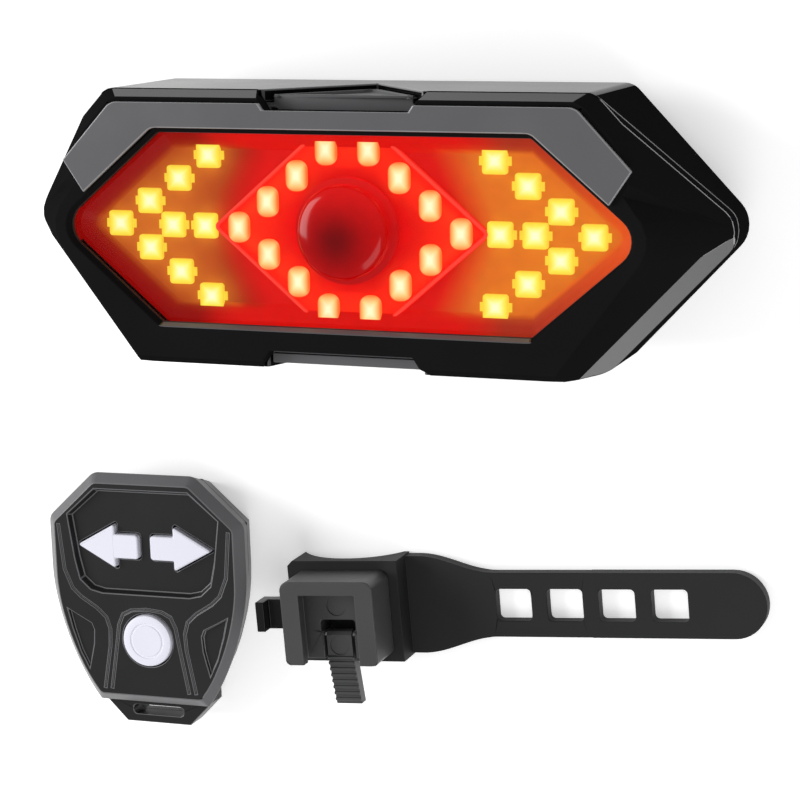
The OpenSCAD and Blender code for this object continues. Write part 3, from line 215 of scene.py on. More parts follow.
def edges_of(bm, face):
    """Takes a face away and keeps its edges as a loop."""
    edges = list(face.edges)
    bmesh.ops.delete(bm, geom=[face], context="FACES_ONLY")
    return edges


def rings(bm, *outlines):
    """Six-sided loops of edges, each by an outline, a height and an inset."""
    return [edges_of(bm, six_sided_face(bm, *outline)) for outline in outlines]


def around(edges):
    """The corners of a loop in turn, from the middle of its lower side."""
    corners = {v for e in edges for v in e.verts}
    return sorted(corners, key=lambda v: (
        math.atan2(v.co.y, v.co.x) + math.pi / 2) % (2 * math.pi))


def skin(bm, loops, closed=False):
    """Joins loops of equally many corners in turn with faces."""
    rows = [around(edges) for edges in loops]
    for low, high in zip(rows, rows[1:] + (rows[:1] if closed else [])):
        for i in range(len(low)):
            bm.faces.new((low[i - 1], low[i], high[i], high[i - 1]))


def raised(bm, faces, step):
    """Extrudes faces by a step and gives the corners of the far side."""
    grown = bmesh.ops.extrude_face_region(bm, geom=faces)
    far = [v for v in grown["geom"] if isinstance(v, bmesh.types.BMVert)]
    bmesh.ops.translate(bm, verts=far, vec=step)
    return far


def box_points(x, y):
    return [(x[0], y[0]), (x[1], y[0]), (x[1], y[1]), (x[0], y[1])]


def rounded(bm, points, low, height, *roundings):
    """An upright outline with rounded corners, extruded."""
    face = rounded_face(bm, [(*point, low) for point in points], *roundings)
    raised(bm, [face], (0, 0, height))


def drum(bm, points, low, high, axis="Z"):
    """A flat outline, extruded between two heights along an axis."""
    spread = {"Z": lambda p, t: (p[0], p[1], t), "Y": lambda p, t: (p[0], t, p[1]),
              "X": lambda p, t: (t, p[0], p[1])}[axis]
    face = bm.faces.new([bm.verts.new(spread(p, low)) for p in points])
    return raised(bm, [face], Vector(spread((0, 0), high)) - Vector(spread((0, 0), low)))


def rod(bm, radius, length, at, segments, turn=None):
    """A closed cylinder, upright or turned a quarter round an axis."""
    matrix = Matrix.Translation(at)
    if turn:
        matrix = matrix @ Matrix.Rotation(math.pi / 2, 4, turn)
    bmesh.ops.create_cone(bm, cap_ends=True, segments=segments, radius1=radius, radius2=radius,
                          depth=length, matrix=matrix)


def turn_outwards(bm):
    """Turns the faces of each closed shell outwards."""
    bmesh.ops.recalc_face_normals(bm, faces=bm.faces)
    bm.normal_update()
    left = set(bm.faces)
    while left:
        shell, waiting = [], [left.pop()]
        while waiting:
            face = waiting.pop()
            shell.append(face)
            near = {f for e in face.edges for f in e.link_faces} & left
            left -= near
            waiting += near
        if sum(f.calc_center_median().dot(f.normal) * f.calc_area() for f in shell) < 0:
            bmesh.ops.reverse_faces(bm, faces=shell)


def object_from(name, bm, place=None):
    """Turns a bmesh in mm into an object in metres, in its place on the floor."""
    turn_outwards(bm)
    if place:
        at, turn = place
        bmesh.ops.rotate(bm, verts=bm.verts, cent=(0, 0, 0),
                         matrix=Matrix.Rotation(math.radians(turn), 3, "Z"))
        bmesh.ops.translate(bm, verts=bm.verts, vec=(*at, 0))
    bmesh.ops.scale(bm, verts=bm.verts, vec=(MM, MM, MM))
    mesh = bpy.data.meshes.new(name)
    bm.to_mesh(mesh)
    bm.free()
    return linked(name, mesh)


def solid(name, place, *parts):
    """An object of parts, each a function that adds to a mesh, and its values."""
    bm = bmesh.new()
    for add, *values in parts:
        add(bm, *values)
    return object_from(name, bm, place)


def settle(piece):
    """Turns a piece's modifiers into mesh."""
    graph = bpy.context.evaluated_depsgraph_get()
    piece.data = bpy.data.meshes.new_from_object(piece.evaluated_get(graph))
    piece.modifiers.clear()


def carve(piece, *steps):
    """Cuts or joins helper solids into a piece in turn, and removes them."""
    for operation, helper in steps:
        cut = piece.modifiers.new("cut", "BOOLEAN")
        cut.operation, cut.solver, cut.object = operation, "EXACT", helper
    settle(piece)
    bm = bmesh.new()
    bm.from_mesh(piece.data)
    bmesh.ops.remove_doubles(bm, verts=bm.verts, dist=0.01 * MM)
    bmesh.ops.triangulate(bm, faces=[f for f in bm.faces if len(f.verts) > 4],
                          quad_method="BEAUTY", ngon_method="BEAUTY")
    bm.to_mesh(piece.data)
    bm.free()
    for _, helper in steps:
        bpy.data.objects.remove(helper)


def cuts(*helpers):
    """Steps that cut helper solids away."""
    return [("DIFFERENCE", helper) for helper in helpers]


def shade_smooth(piece):
    for polygon in piece.data.polygons:
        polygon.use_smooth = True


def soften(piece, width, segments=3, angle=32, edge_slot=-1):
    """Small rounded edges, in a finish of their own if a slot is given."""
    shade_smooth(piece)
    edges = piece.modifiers.new("round_edges", "BEVEL")
    edges.width = width * MM
    edges.segments = segments
    edges.limit_method = "ANGLE"
    edges.angle_limit = math.radians(angle)
    edges.harden_normals = True
    edges.material = edge_slot
    edges.use_clamp_overlap = False


def wear(piece, *materials):
    """Gives a piece its materials."""
    piece.data.materials.clear()
    for material in materials:
        piece.data.materials.append(material)


def finish_piece(piece, materials, body, slot, *nodes):
    """Gives a piece its materials and body, and hides the nodes that it replaces; slot is not used.
    """
    wear(piece, *materials)
    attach(piece, body)
    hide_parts(*nodes)


def beyond(at, normal):
    """A large block beyond a plane through a point."""
    bm = bmesh.new()
    bmesh.ops.create_cube(bm, size=BLOCK_SIZE)
    bmesh.ops.translate(bm, verts=bm.verts, vec=(0, 0, BLOCK_SIZE / 2))
    turn = Vector(normal).to_track_quat("Z", "Y").to_matrix()
    bmesh.ops.rotate(bm, verts=bm.verts, cent=(0, 0, 0), matrix=turn)
    bmesh.ops.translate(bm, verts=bm.verts, vec=at)
    return object_from("beyond", bm)


def sloped_ends(inset):
    """Cuts for the light's sloped ends, with rounded ridges, moved inwards."""
    blocks = []
    for side in (-1, 1):
        for skew, sink in END_ROUND:
            for half in (-1, 1) if skew else (1,):
                normal = Vector((side * END_RISE, half * skew, 1))
                at = Vector((side * TIP_X, 0, END_Z - sink)) - normal.normalized() * inset
                blocks.append(beyond(at, normal))
                if half * skew == END_SKEW:
                    across = Vector((side * math.sin(STEP_TURN), -math.cos(STEP_TURN), 1))
                    at = Vector((side * STEP_X, STEP_Y, STEP_Z)) - across.normalized() * inset
                    carve(blocks[-1], ("INTERSECT", beyond(at, across)))
    return cuts(*blocks)


black_gloss = moulded("black_gloss_plastic", tone(13, 13, 14), 0.14, 0.15, 1.2, 0.004,
                      ior=1.1, gloss=0.2)
housing_painted_highlight = moulded("painted_highlight_on_black_rim", tone(70, 70, 72), 0.2, 0.08, 1.2, 0.003)
black_frame = moulded("black_frame_plastic", tone(24, 24, 25), 0.3, 0.15, 0.9, 0.004, gloss=0.0)
bm = bmesh.new()
floor_face = six_sided_face(bm, CAVITY, BACK_FLOOR_Z)
back_face = six_sided_face(bm, HOUSING, BACK_Z, BACK_BEVEL)
skin(bm, [list(back_face.edges),
          *rings(bm, (HOUSING, BACK_Z + BACK_BEVEL), (HOUSING, RIM_Z), (CAVITY, RIM_Z)),
          list(floor_face.edges)])
housing = object_from("rear_housing_shell", bm)
posts = solid(
    "posts", None, *((rod, *SCREW_POST, (x, y, SCREW_POST_Z), 32) for x, y in SCREW_PLACES),
    (drum, box_points(PORT_WALL_X, PORT_WALL_Z), *PORT_WALL_Y, "Y"))
notch = [(-NOTCH_HALF_W, RIM_Z), (-NOTCH_HALF_W, RIM_Z + 1), (NOTCH_HALF_W, RIM_Z + 1),
         (NOTCH_HALF_W, RIM_Z)]
cover_foot = [(COVER_HINGE_HALF_W, COVER_POCKET_Z), (-COVER_HINGE_HALF_W, COVER_POCKET_Z)]
pockets = solid(
    "pockets", None, *((rod, *SCREW_BORE, (x, y, SCREW_BORE_Z), 32) for x, y in SCREW_PLACES),
    (drum, notch + [(0, BUTTON_APEX_Z)], BUTTON_FLOOR_Y, NOTCH_OUT_Y, "Y"),
    (drum, notch + cover_foot, -NOTCH_OUT_Y, COVER_FLOOR_Y, "Y"))
port_hole = solid("port_hole", None, (drum, box_points(PORT_X, PORT_Z), *PORT_Y, "Y"))
carve(housing, ("UNION", posts), *cuts(pockets, port_hole), *sloped_ends(CAP_T))
# Its rounded edges wear a lighter black: a painted highlight line.
soften(housing, 0.3, edge_slot=1)
finish_piece(housing, (black_gloss, housing_painted_highlight, black_frame), "light", "black_gloss",
             "rear_housing")
for polygon in housing.data.polygons:
    if abs(polygon.normal.x) > 0.5 and abs(polygon.normal.z) < 0.1:
        polygon.material_index = 2

# Front bezel: the black frame round the lens, moulded in one piece and screwed on from behind.
# Its rim slopes up to a flat satin face, and a narrow slope leads down to the lens.
BEZEL = (58.2, 20.9, 38.8, 5.0, 3.0)
LENS = (48.9, 15.3, 31.1, 4.0, 1.0)
FRONT_Z, LENS_Z = 35.0, 33.8
OPENING_SLOPE, OPENING_DROP = 0.6, 0.35
SEAT_GAP = 2.15
CAP_LOW_Z = 14.0
NOTCH_Y, NOTCH_FOOT, NOTCH_MOUTH = 19.1, 12.0, 14.73
BAND_AT, BAND_NORMAL, BAND_SINK = (51.0, -11.1, 22.38), (0.7376, -0.605, 0.3017), 0.86
END_FACE_X, END_FACE_Y = 41, -3


def notch_cutter(side):
    """The shallow gap in the frame's top edge, or in its bottom edge."""
    outer, inner = side * NOTCH_OUT_Y, side * NOTCH_Y
    outline = [(-NOTCH_MOUTH, outer), (-NOTCH_FOOT, inner), (NOTCH_FOOT, inner),
               (NOTCH_MOUTH, outer)]
    return solid("notch", None, (drum, outline, RIM_Z - 0.1, FRONT_Z + 1.2))


def on_band(normal):
    """Whether a face belongs to a polished band along a lower end edge."""
    return Vector((abs(normal.x), normal.y, normal.z)).dot(Vector(BAND_NORMAL)) > 0.999


bm = bmesh.new()
skin(bm, rings(bm, (HOUSING, CAP_LOW_Z), (HOUSING, RIM_Z), (BEZEL, FRONT_Z),
               (LENS, FRONT_Z, -OPENING_SLOPE), (LENS, LENS_Z), (LENS, LENS_Z - 0.05, -SEAT_GAP),
               (LENS, CAP_LOW_Z, -SEAT_GAP)), closed=True)
opening = [v for v in bm.verts
           if v.co.z == FRONT_Z and abs(v.co.y) < LENS[1] + OPENING_SLOPE + 0.1
           and any(e.other_vert(v).co.z == LENS_Z for e in v.link_edges)]
bmesh.ops.translate(bm, verts=opening, vec=(0, -OPENING_DROP, 0))
bezel = object_from("front_bezel_frame", bm)
bm = bmesh.new()
ends = [six_sided_face(bm, HOUSING, z, -1) for z in (CAP_LOW_Z - 1, RIM_Z - 0.02)]
skin(bm, [list(end.edges) for end in ends])
core = object_from("tub_inside", bm)
carve(core, *sloped_ends(CAP_T))
bands = []
for side in (-1, 1):
    across = Vector((side * BAND_NORMAL[0], *BAND_NORMAL[1:])).normalized()
    at = Vector((side * BAND_AT[0], *BAND_AT[1:])) - across * BAND_SINK
    bands.append(beyond(at, across))
carve(bezel, *cuts(core, notch_cutter(1), notch_cutter(-1)), *sloped_ends(0.0), *cuts(*bands))
bm = bmesh.new()
bm.from_mesh(bezel.data)
bm.normal_update()
for edge in bm.edges:
    edge.smooth = len({on_band(face.normal) for face in edge.link_faces}) < 2
bm.to_mesh(bezel.data)
bm.free()
soften(bezel, 0.2, angle=22)
settle(bezel)
grey_gloss = moulded("grey_plate_and_painted_light", tone(92, 92, 94), 0.3, 0.1, 0.7, 0.006)
painted_highlight_line = moulded("painted_highlight_line", tone(140, 140, 142), 0.25, 0.05, 0.7, 0.004)
polished_band = moulded("polished_band", tone(40, 40, 41), 0.16, 0.1, 1.2, 0.003)
finish_piece(bezel, (black_frame, grey_gloss, painted_highlight_line, polished_band), "light",
             "black_gloss", "front_bezel")
# Painted light on the black frame: the lower slope of the opening wears the grey plate's plastic as
# a painted reflection, and the slanted faces at the right end carry a painted highlight line.
for polygon in bezel.data.polygons:
    middle, normal = polygon.center / MM, polygon.normal
    on_right_end = middle.x > END_FACE_X and middle.y > END_FACE_Y and normal.x > 0.5
    in_opening = LENS_Z < middle.z < FRONT_Z and middle.y < 0
    if normal.y > 0.85 and normal.z > 0.4 or on_band(normal):
        polygon.material_index = 3
    elif on_right_end and 0.06 < normal.z < 0.42:
        polygon.material_index = 2
    if in_opening and normal.y > 0.3 and abs(normal.x) < 0.2:
        polygon.material_index = 1

# Upper trim: a grey gloss plate glued on the upper half of the frame.
# Its ends are cut on a slope, and its rounded edges are painted lighter as a thin highlight line.
TRIM_T, TRIM_MARGIN, TRIM_REACH = 0.8, 0.7, 0.85
TRIM_CUT_X, TRIM_END_Y, TRIM_LOW_Y, TRIM_TURN = 45.3, 7.9, 3, math.radians(56)


def sliced(bm, at, normal, **cleared):
    """Cuts a mesh along a plane, and clears one side of it if asked."""
    bmesh.ops.bisect_plane(bm, geom=bm.verts[:] + bm.edges[:] + bm.faces[:],
                           plane_co=at, plane_no=normal, **cleared)


bm = bmesh.new()
skin(bm, rings(bm, (BEZEL, FRONT_Z, TRIM_MARGIN), (LENS, FRONT_Z, -TRIM_REACH)))
for side in (-1, 1):
    sliced(bm, (side * TRIM_CUT_X, TRIM_END_Y, FRONT_Z),
           (side * math.sin(TRIM_TURN), -math.cos(TRIM_TURN), 0), clear_outer=True)
sliced(bm, (0, TRIM_LOW_Y, 0), (0, 1, 0), clear_inner=True)
raised(bm, bm.faces[:], (0, 0, TRIM_T))
trim = object_from("upper_trim_plate", bm)
carve(trim, *cuts(notch_cutter(1)))
soften(trim, 0.2, edge_slot=1)
finish_piece(trim, (grey_gloss, painted_highlight_line), "light", "grey_gloss", "upper_trim")

# Reflector tray: the moulded amber tray that carries the light of the lamps to the lens.
# Its wall slopes down to a flat floor, which glows round each arrow of lamps.
TRAY_TOP_Z, TRAY_FLOOR_Z, TRAY_BACK_Z = 31.5, 29.4, 28.0
TRAY_FOOT, TRAY_LAP, TRAY_FLANGE = 3.0, 0.3, 1.8
ARROW = [(40.0 - 5.3 * abs(i), 3.8 * i) for i in range(-3, 4)] + [(30.6, 0), (24.9, 0)]
LEFT_ARROW = [(-x, y) for x, y in ARROW]
RING = [(side * (18.75 - 5.06 * abs(i)), 4.233 * i) for i in range(-3, 4) for side in (-1, 1)]
# These are the painted glow colours of the lamps' light; the left half is painted dimmer and redder
# than the right.
LEFT_GLOW = (LEFT_ARROW, tone(152, 6, 3), tone(206, 108, 36), 3.4)
RIGHT_GLOW = (ARROW, tone(212, 76, 26), tone(222, 118, 34), 5.0)
HALO, HALO_REACH = tone(244, 160, 40), 1.6
MIDDLE_RED, FLOOR_RED_X, WALL_RED_X, RED_FADE = tone(216, 14, 8), 25.5, 26, 6
RIGHT_WALL, LEFT_WALL, RIGHT_STRIP = tone(220, 80, 28), tone(146, 6, 4), tone(168, 46, 26)
GLOW_GRAIN, GLOW_DRIFT = 1.6, 0.12


def unit(value):
    """A share, kept between 0 and 1."""
    return max(0, min(1, value))


def mixed(a, b, share):
    return [x + (y - x) * share for x, y in zip(a, b)]


def near_lamps(x, y, places, reach):
    """How much light of the nearby lamps a place gets, from 0 to 1."""
    dark = 1.0
    for px, py in places:
        dark *= 1 - 0.8 * math.exp(-((x - px) ** 2 + (y - py) ** 2) / (2 * reach * reach))
    return 1 - dark


def tray_colour(x, y, z):
    """Colour of the lit tray: its glowing floor, and its sloped wall."""
    places, dark, warm, reach = LEFT_GLOW if x < 0 else RIGHT_GLOW
    colour = mixed(dark, warm, near_lamps(x, y, places, reach))
    colour = mixed(colour, HALO, 0.7 * near_lamps(x, y, places, HALO_REACH))
    colour = mixed(colour, MIDDLE_RED, unit((FLOOR_RED_X - abs(x) - 0.5 * abs(y)) / RED_FADE))
    rise = unit((z - TRAY_FLOOR_Z) / (TRAY_TOP_Z - TRAY_FLOOR_Z))
    wall = mixed(RIGHT_WALL, RIGHT_STRIP, unit((abs(y) - 8) / 4)) if x > 0 else LEFT_WALL
    wall = mixed(wall, MIDDLE_RED, unit((WALL_RED_X - abs(x)) / RED_FADE))
    return mixed(colour, wall, unit(2.5 * rise))


def paint_glow(piece, colour_at):
    """Stores the lit colour of each vertex, by its place in mm."""
    glow = piece.data.color_attributes.new("glow", "FLOAT_COLOR", "POINT")
    for vertex, value in zip(piece.data.vertices, glow.data):
        colour = colour_at(*(c / MM for c in vertex.co))
        value.color = (*colour[:3], 1.0)


def lit(name, strength, body_share, roughness, gloss=0.1):
    """A translucent moulding lit from behind, in the colours stored on it."""
    multiplied = {"data_type": "RGBA", "blend_type": "MULTIPLY", "Factor": 1}
    return node_material(name, {
        BSDF: ("", {"Emission Strength": strength, "Specular IOR Level": gloss,
                    "Roughness": roughness}),
        "stored": ("VertexColor", {"layer_name": "glow"}),
        "place": ("TexCoord", {}),
        "grain": ("TexNoise", {"Scale": 1 / (GLOW_GRAIN * MM)}),
        "level": ("MapRange", {"To Min": 1 - GLOW_DRIFT, "To Max": 1 + GLOW_DRIFT}),
        "bright": ("Mix", multiplied),
        "body": ("Mix", {**multiplied, 7: grey(body_share)}),
    }, [
        ("place", "Object", "grain", "Vector"), ("grain", "Fac", "level", "Value"),
        ("stored", "Color", "bright", 6), ("level", "Result", "bright", 7),
        ("bright", 2, BSDF, "Emission Color"), ("stored", "Color", "body", 6),
        ("body", 2, BSDF, "Base Color")])


def inset_of(outline, x, y):
    """How far inside a six-sided outline a place lies; below nought outside it."""
    slant = slant_of(outline)
    to_end = (outline[0] - abs(x)) * math.cos(slant) - abs(y) * math.sin(slant)
    return min(outline[1] - abs(y), to_end)


bm = bmesh.new()
bmesh.ops.create_grid(bm, x_segments=128, y_segments=44, size=1)
bmesh.ops.scale(bm, verts=bm.verts, vec=(48, 16.5, 1))
slant = slant_of(LENS)
for sx in (-1, 1):
    for sy in (-1, 1):
        sliced(bm, (sx * (LENS[0] - (TRAY_FOOT - TRAY_LAP) / math.cos(slant)), 0, 0),
               (sx * math.cos(slant), sy * math.sin(slant), 0), clear_outer=True)
for sy in (-1, 1):
    sliced(bm, (0, sy * (LENS[1] - TRAY_FOOT + TRAY_LAP), 0), (0, sy, 0), clear_outer=True)
bmesh.ops.translate(bm, verts=bm.verts, vec=(0, 0, TRAY_FLOOR_Z))
raised(bm, bm.faces[:], (0, 0, TRAY_BACK_Z - TRAY_FLOOR_Z))
skin(bm, rings(bm, (LENS, TRAY_FLOOR_Z - 0.1, TRAY_FOOT), (LENS, 30.1, 2.1), (LENS, 30.8, 1.2),
               (LENS, TRAY_TOP_Z, 0.35), (LENS, TRAY_TOP_Z, -TRAY_LAP),
               (LENS, TRAY_TOP_Z, -TRAY_FLANGE), (LENS, TRAY_BACK_Z, -TRAY_FLANGE),
               (LENS, TRAY_BACK_Z, TRAY_FOOT)), closed=True)
for x in range(-30, 31, 4):
    sliced(bm, (x, 0, 0), (1, 0, 0))
tray = object_from("reflector_tray_lit", bm)
paint_glow(tray, tray_colour)
amber_tray = lit("amber_tray_plastic", 0.82, 0.25, 0.35)
finish_piece(tray, (amber_tray, black_frame), "light", "amber_tray", "reflector_tray")
# Painted shade: the tray's flange under the frame and its sides and back wear the dark frame
# plastic instead of the glow.
for polygon in tray.data.polygons:
    corners = [tray.data.vertices[i].co / MM for i in polygon.vertices]
    under_frame = (all(abs(c.z - TRAY_TOP_Z) < 0.01 for c in corners)
                   and max(inset_of(LENS, c.x, c.y) for c in corners) < -0.2)
    polygon.material_index = int(polygon.normal.z < 0.05 or under_frame)

# Red plate: the six-sided red window in the middle of the tray, clipped flat on its floor.
# A thin moulded rim runs round it, and the ring of red lamps shines through it.
PLATE = (23.55, 14.6, 6.57, 1.0, 1.0)
PLATE_Z, PLATE_TOP_Z, PLATE_RIM_W, PLATE_RIM_H = 29.42, 29.42 + 0.6, 0.45, 0.25
PLATE_WELL_R, DOME_HOLE = 9.6, 8.7
PLATE_RED, PLATE_HOT = tone(238, 4, 4), tone(252, 84, 36)
PLATE_DEEP, PLATE_PINK = tone(206, 2, 4), tone(240, 84, 70)


def round_loop(bm, radius, z):
    """A loop of edges in a circle."""
    matrix = Matrix.Translation((0, 0, z))
    made = bmesh.ops.create_circle(bm, radius=radius, segments=54, matrix=matrix)
    return list({e for v in made["verts"] for e in v.link_edges})


def plate_colour(x, y, z):
    """Bright red, hotter round the lamps, deeper round the dome, with a pale rim painted as glints.
    """
    colour = mixed(PLATE_DEEP, PLATE_RED, unit((math.hypot(x, y) - 8.5) / 3))
    colour = mixed(colour, PLATE_HOT, 0.6 * near_lamps(x, y, RING, 1.8))
    return mixed(colour, PLATE_PINK, unit((z - PLATE_TOP_Z - 0.05) / PLATE_RIM_H) * 0.7)


bm = bmesh.new()
rim_z = PLATE_TOP_Z + PLATE_RIM_H
loops = rings(bm, (PLATE, PLATE_Z), (PLATE, rim_z, 0.1), (PLATE, rim_z, PLATE_RIM_W),
              *((PLATE, PLATE_TOP_Z, inset) for inset in (PLATE_RIM_W + 0.3, 2.2, 4.4)))
loops += [round_loop(bm, *ring) for ring in (
    (PLATE_WELL_R, PLATE_TOP_Z), (DOME_HOLE, PLATE_TOP_Z), (DOME_HOLE, PLATE_Z))]
skin(bm, loops, closed=True)
plate = object_from("red_plate_lit", bm)
paint_glow(plate, plate_colour)
red_plate = lit("red_plate_plastic", 0.9, 0.3, 0.25)
finish_piece(plate, (red_plate,), "light", "red_plate", "red_diffuser")

# Lamps: surface-mounted packages in two amber arrows and a red ring, soldered on the lamp board.
# Each wears a small clear cap, whose middle burns white and whose edge takes the lamp's colour.
AMBER_SIDE, AMBER_CAP_Z, AMBER_CORNER, AMBER_TAB, TAB_HALF_H = 4.1, 30.0, 0.5, 0.55, 0.7
RED_W, RED_H, RED_CAP_Z, RED_CORNER = 3.5, 4.9, 30.75, 1.5
LAMP_BACK_Z = 28.0
AMBER_TONES = tone(236, 204, 58), tone(246, 238, 92), tone(250, 250, 206)
RED_TONES = tone(250, 120, 52), tone(252, 206, 128), tone(252, 248, 204)
CORE_REACH, MID_REACH = 0.15, 0.6


def lamp_caps(name, places, width, height, top, corner, tab):
    """Lamps with a rounded cap each, and tabs at both sides if given."""
    bm = bmesh.new()
    half_w, half_h = width / 2, height / 2
    for x, y in places:
        sides = box_points((x - half_w, x + half_w), (y - half_h, y + half_h))
        cap = rounded_face(bm, [(*point, top) for point in sides], (range(4), corner, 5))
        raised(bm, [cap], (0, 0, LAMP_BACK_Z - top))
        for share in (0.72, 0.62, 0.4):
            rim = bmesh.ops.extrude_face_region(bm, geom=[cap])
            bmesh.ops.delete(bm, geom=[cap], context="FACES_ONLY")
            cap = next(f for f in rim["geom"] if isinstance(f, bmesh.types.BMFace))
            space = Matrix.Translation((-x, -y, 0))
            bmesh.ops.scale(bm, verts=cap.verts, vec=(share, share, 1), space=space)
        for side in (-1, 1) if tab else ():
            ends = sorted((x + side * (half_w - 0.2), x + side * (half_w + tab)))
            drum(bm, box_points(ends, (y - TAB_HALF_H, y + TAB_HALF_H)), LAMP_BACK_Z, top - 0.25)
    return object_from(name, bm)


def lamp_colour(places, width, height, edge, middle, core):
    """Colour of a lamp by how far from its middle a place lies."""
    def colour(x, y, z):
        reach = min(max(abs(x - px) / width, abs(y - py) / height) * 2 for px, py in places)
        if reach < MID_REACH:
            return mixed(core, middle, unit((reach - CORE_REACH) / (MID_REACH - CORE_REACH)))
        return mixed(middle, edge, unit((reach - MID_REACH) / (1 - MID_REACH)))
    return colour


lit_lamp = lit("lit_lamp_resin", 1.0, 0.2, 0.3)
amber = (AMBER_SIDE, AMBER_SIDE, AMBER_CAP_Z, AMBER_CORNER, AMBER_TAB)
red = (RED_W, RED_H, RED_CAP_Z, RED_CORNER, 0)
for name, places, shape, tones, slot, node in (
        ("left_arrow_lamps", LEFT_ARROW, amber, AMBER_TONES, "amber_lamp", "left_amber_lamps"),
        ("right_arrow_lamps", ARROW, amber, AMBER_TONES, "amber_lamp", "right_amber_lamps"),
        ("red_ring_lamps", RING, red, RED_TONES, "red_lamp", "red_lamps")):
    lamps = lamp_caps(name, places, *shape)
    paint_glow(lamps, lamp_colour(places, *shape[:2], *tones))
    finish_piece(lamps, (lit_lamp,), "light", slot, node)

# Centre dome: a polished dark red cap that pokes through the lens, held by a flange behind it.
# It is turned from one profile, with a rounded shoulder and a low crown.
DOME_R, DOME_FLANGE_R, DOME_LOW_Z = 7.5, 8.5, 30.1
DOME_PROFILE = [
    (0, DOME_LOW_Z), (DOME_FLANGE_R, DOME_LOW_Z), (DOME_FLANGE_R, 31.45), (DOME_R, 31.5),
    (DOME_R, 33.3), (7.3, 33.8), (6.7, 34.15), (5.2, 34.48), (3.2, 34.7), (1.5, 34.78), (0, 34.8)]
DOME_EDGE = 1.2
DOME_DARK, DOME_RED, DOME_TOP_RED = tone(112, 0, 4), tone(196, 4, 6), tone(222, 16, 16)


def turned(profile):
    """A mesh turned round the upright axis from radii and heights."""
    bm = bmesh.new()
    chain = [bm.verts.new((r, 0, z)) for r, z in profile]
    rim = [bm.edges.new(pair) for pair in zip(chain, chain[1:])]
    bmesh.ops.spin(bm, geom=chain + rim, cent=(0, 0, 0), axis=(0, 0, 1), angle=2 * math.pi,
                   steps=64, use_merge=True)
    bmesh.ops.remove_doubles(bm, verts=bm.verts, dist=0.001)
    return bm


def dome_colour(x, y, z):
    """Painted glow: dark in the middle, where no lamp is behind it, red at the rim, paler towards
    the top.
    """
    colour = mixed(DOME_RED, DOME_TOP_RED, unit(y / 6))
    return mixed(colour, DOME_DARK, math.exp(-((x + 0.6) ** 2 + (y + 1.4) ** 2) / 26))


dome = object_from("center_dome_cap", turned(DOME_PROFILE))
shade_smooth(dome)
dome.data.set_sharp_from_angle(angle=math.radians(40))
bm = bmesh.new()
bm.from_mesh(dome.data)
bmesh.ops.subdivide_edges(bm, edges=[e for e in bm.edges if e.calc_length() > DOME_EDGE * MM],
                          cuts=1, use_grid_fill=True)
bm.to_mesh(dome.data)
bm.free()
paint_glow(dome, dome_colour)
dark_red = lit("dark_red_resin", 0.85, 0.15, 0.12, gloss=0.2)
finish_piece(dome, (dark_red,), "light", "dark_red", "center_dome")

# Lens: a clear polished window with a flange that the bezel clamps, and a round hole for the dome.
# It is moulded in one piece; its sheen grows where it is seen from the side.
LENS_BACK_Z, FLANGE_Z, FLANGE_W, LENS_GAP, LENS_HOLE = 31.6, 33.2, 2.0, 0.1, 7.6
SHEEN_POWER, SHEEN_SIDE, SHEEN_FRONT = 4, 0.3, 0.005
bm = bmesh.new()
loops = rings(bm, (LENS, LENS_BACK_Z, -FLANGE_W), (LENS, FLANGE_Z, -FLANGE_W),
              (LENS, FLANGE_Z, LENS_GAP), (LENS, LENS_Z, LENS_GAP))
loops += [round_loop(bm, LENS_HOLE, z) for z in (LENS_Z, LENS_BACK_Z)]
skin(bm, loops, closed=True)
lens = object_from("clear_lens_window", bm)
clear_lens = node_material("clear_lens_plastic", {
    "through": ("BsdfTransparent", {"Color": (1.0, 0.97, 0.96, 1)}),
    "shine": ("BsdfGlossy", {"Color": grey(1), "Roughness": 0.06}),
    "sheen": ("LayerWeight", {"Blend": 0.5}),
    "steepness": ("Math", {"operation": "POWER", 1: SHEEN_POWER}),
    "level": ("Math", {"operation": "MULTIPLY_ADD", 1: SHEEN_SIDE, 2: SHEEN_FRONT}),
    "blend": ("MixShader", {}),
}, [
    ("sheen", "Facing", "steepness", 0), ("steepness", 0, "level", 0), ("level", 0, "blend", "Fac"),
    ("through", 0, "blend", 1), ("shine", 0, "blend", 2), ("blend", 0, OUTPUT, "Surface")])
finish_piece(lens, (clear_lens,), "light", "clear_lens", "lens")

# Lens gasket, mounting foot and the fittings inside the light keep the shapes of the frame.
# Rubber, moulded plastic, plated steel, a wrapped cell and a lacquered board.
soft_black = moulded("soft_black_rubber", tone(34, 34, 35), 0.5, 0.2, 0.5, 0.01)
black_satin = moulded("black_satin_plastic", tone(40, 40, 41), 0.4, 0.15, 0.45, 0.012)
steel = moulded("plated_steel", tone(180, 180, 184), 0.3, 0.1, 0.4, 0.004, metal=1)
nickel = moulded("nickel_sheet", tone(190, 186, 176), 0.28, 0.1, 0.5, 0.004, metal=1)
cell_can = moulded("cell_wrap", tone(58, 96, 150), 0.35, 0.15, 1.0, 0.004)
board_green = moulded("board_lacquer", tone(22, 84, 46), 0.35, 0.3, 0.8, 0.01)
for node, material in {
        "lens_gasket": soft_black, "mount_foot": black_satin, "foot_screws": steel,
        "housing_screws": steel, "lamp_board": board_green, "receiver_module": board_green,
        "battery": cell_can, "battery_tabs": nickel, "power_switch": black_satin,
        "charging_socket": nickel}.items():
    wear(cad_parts[node], material)

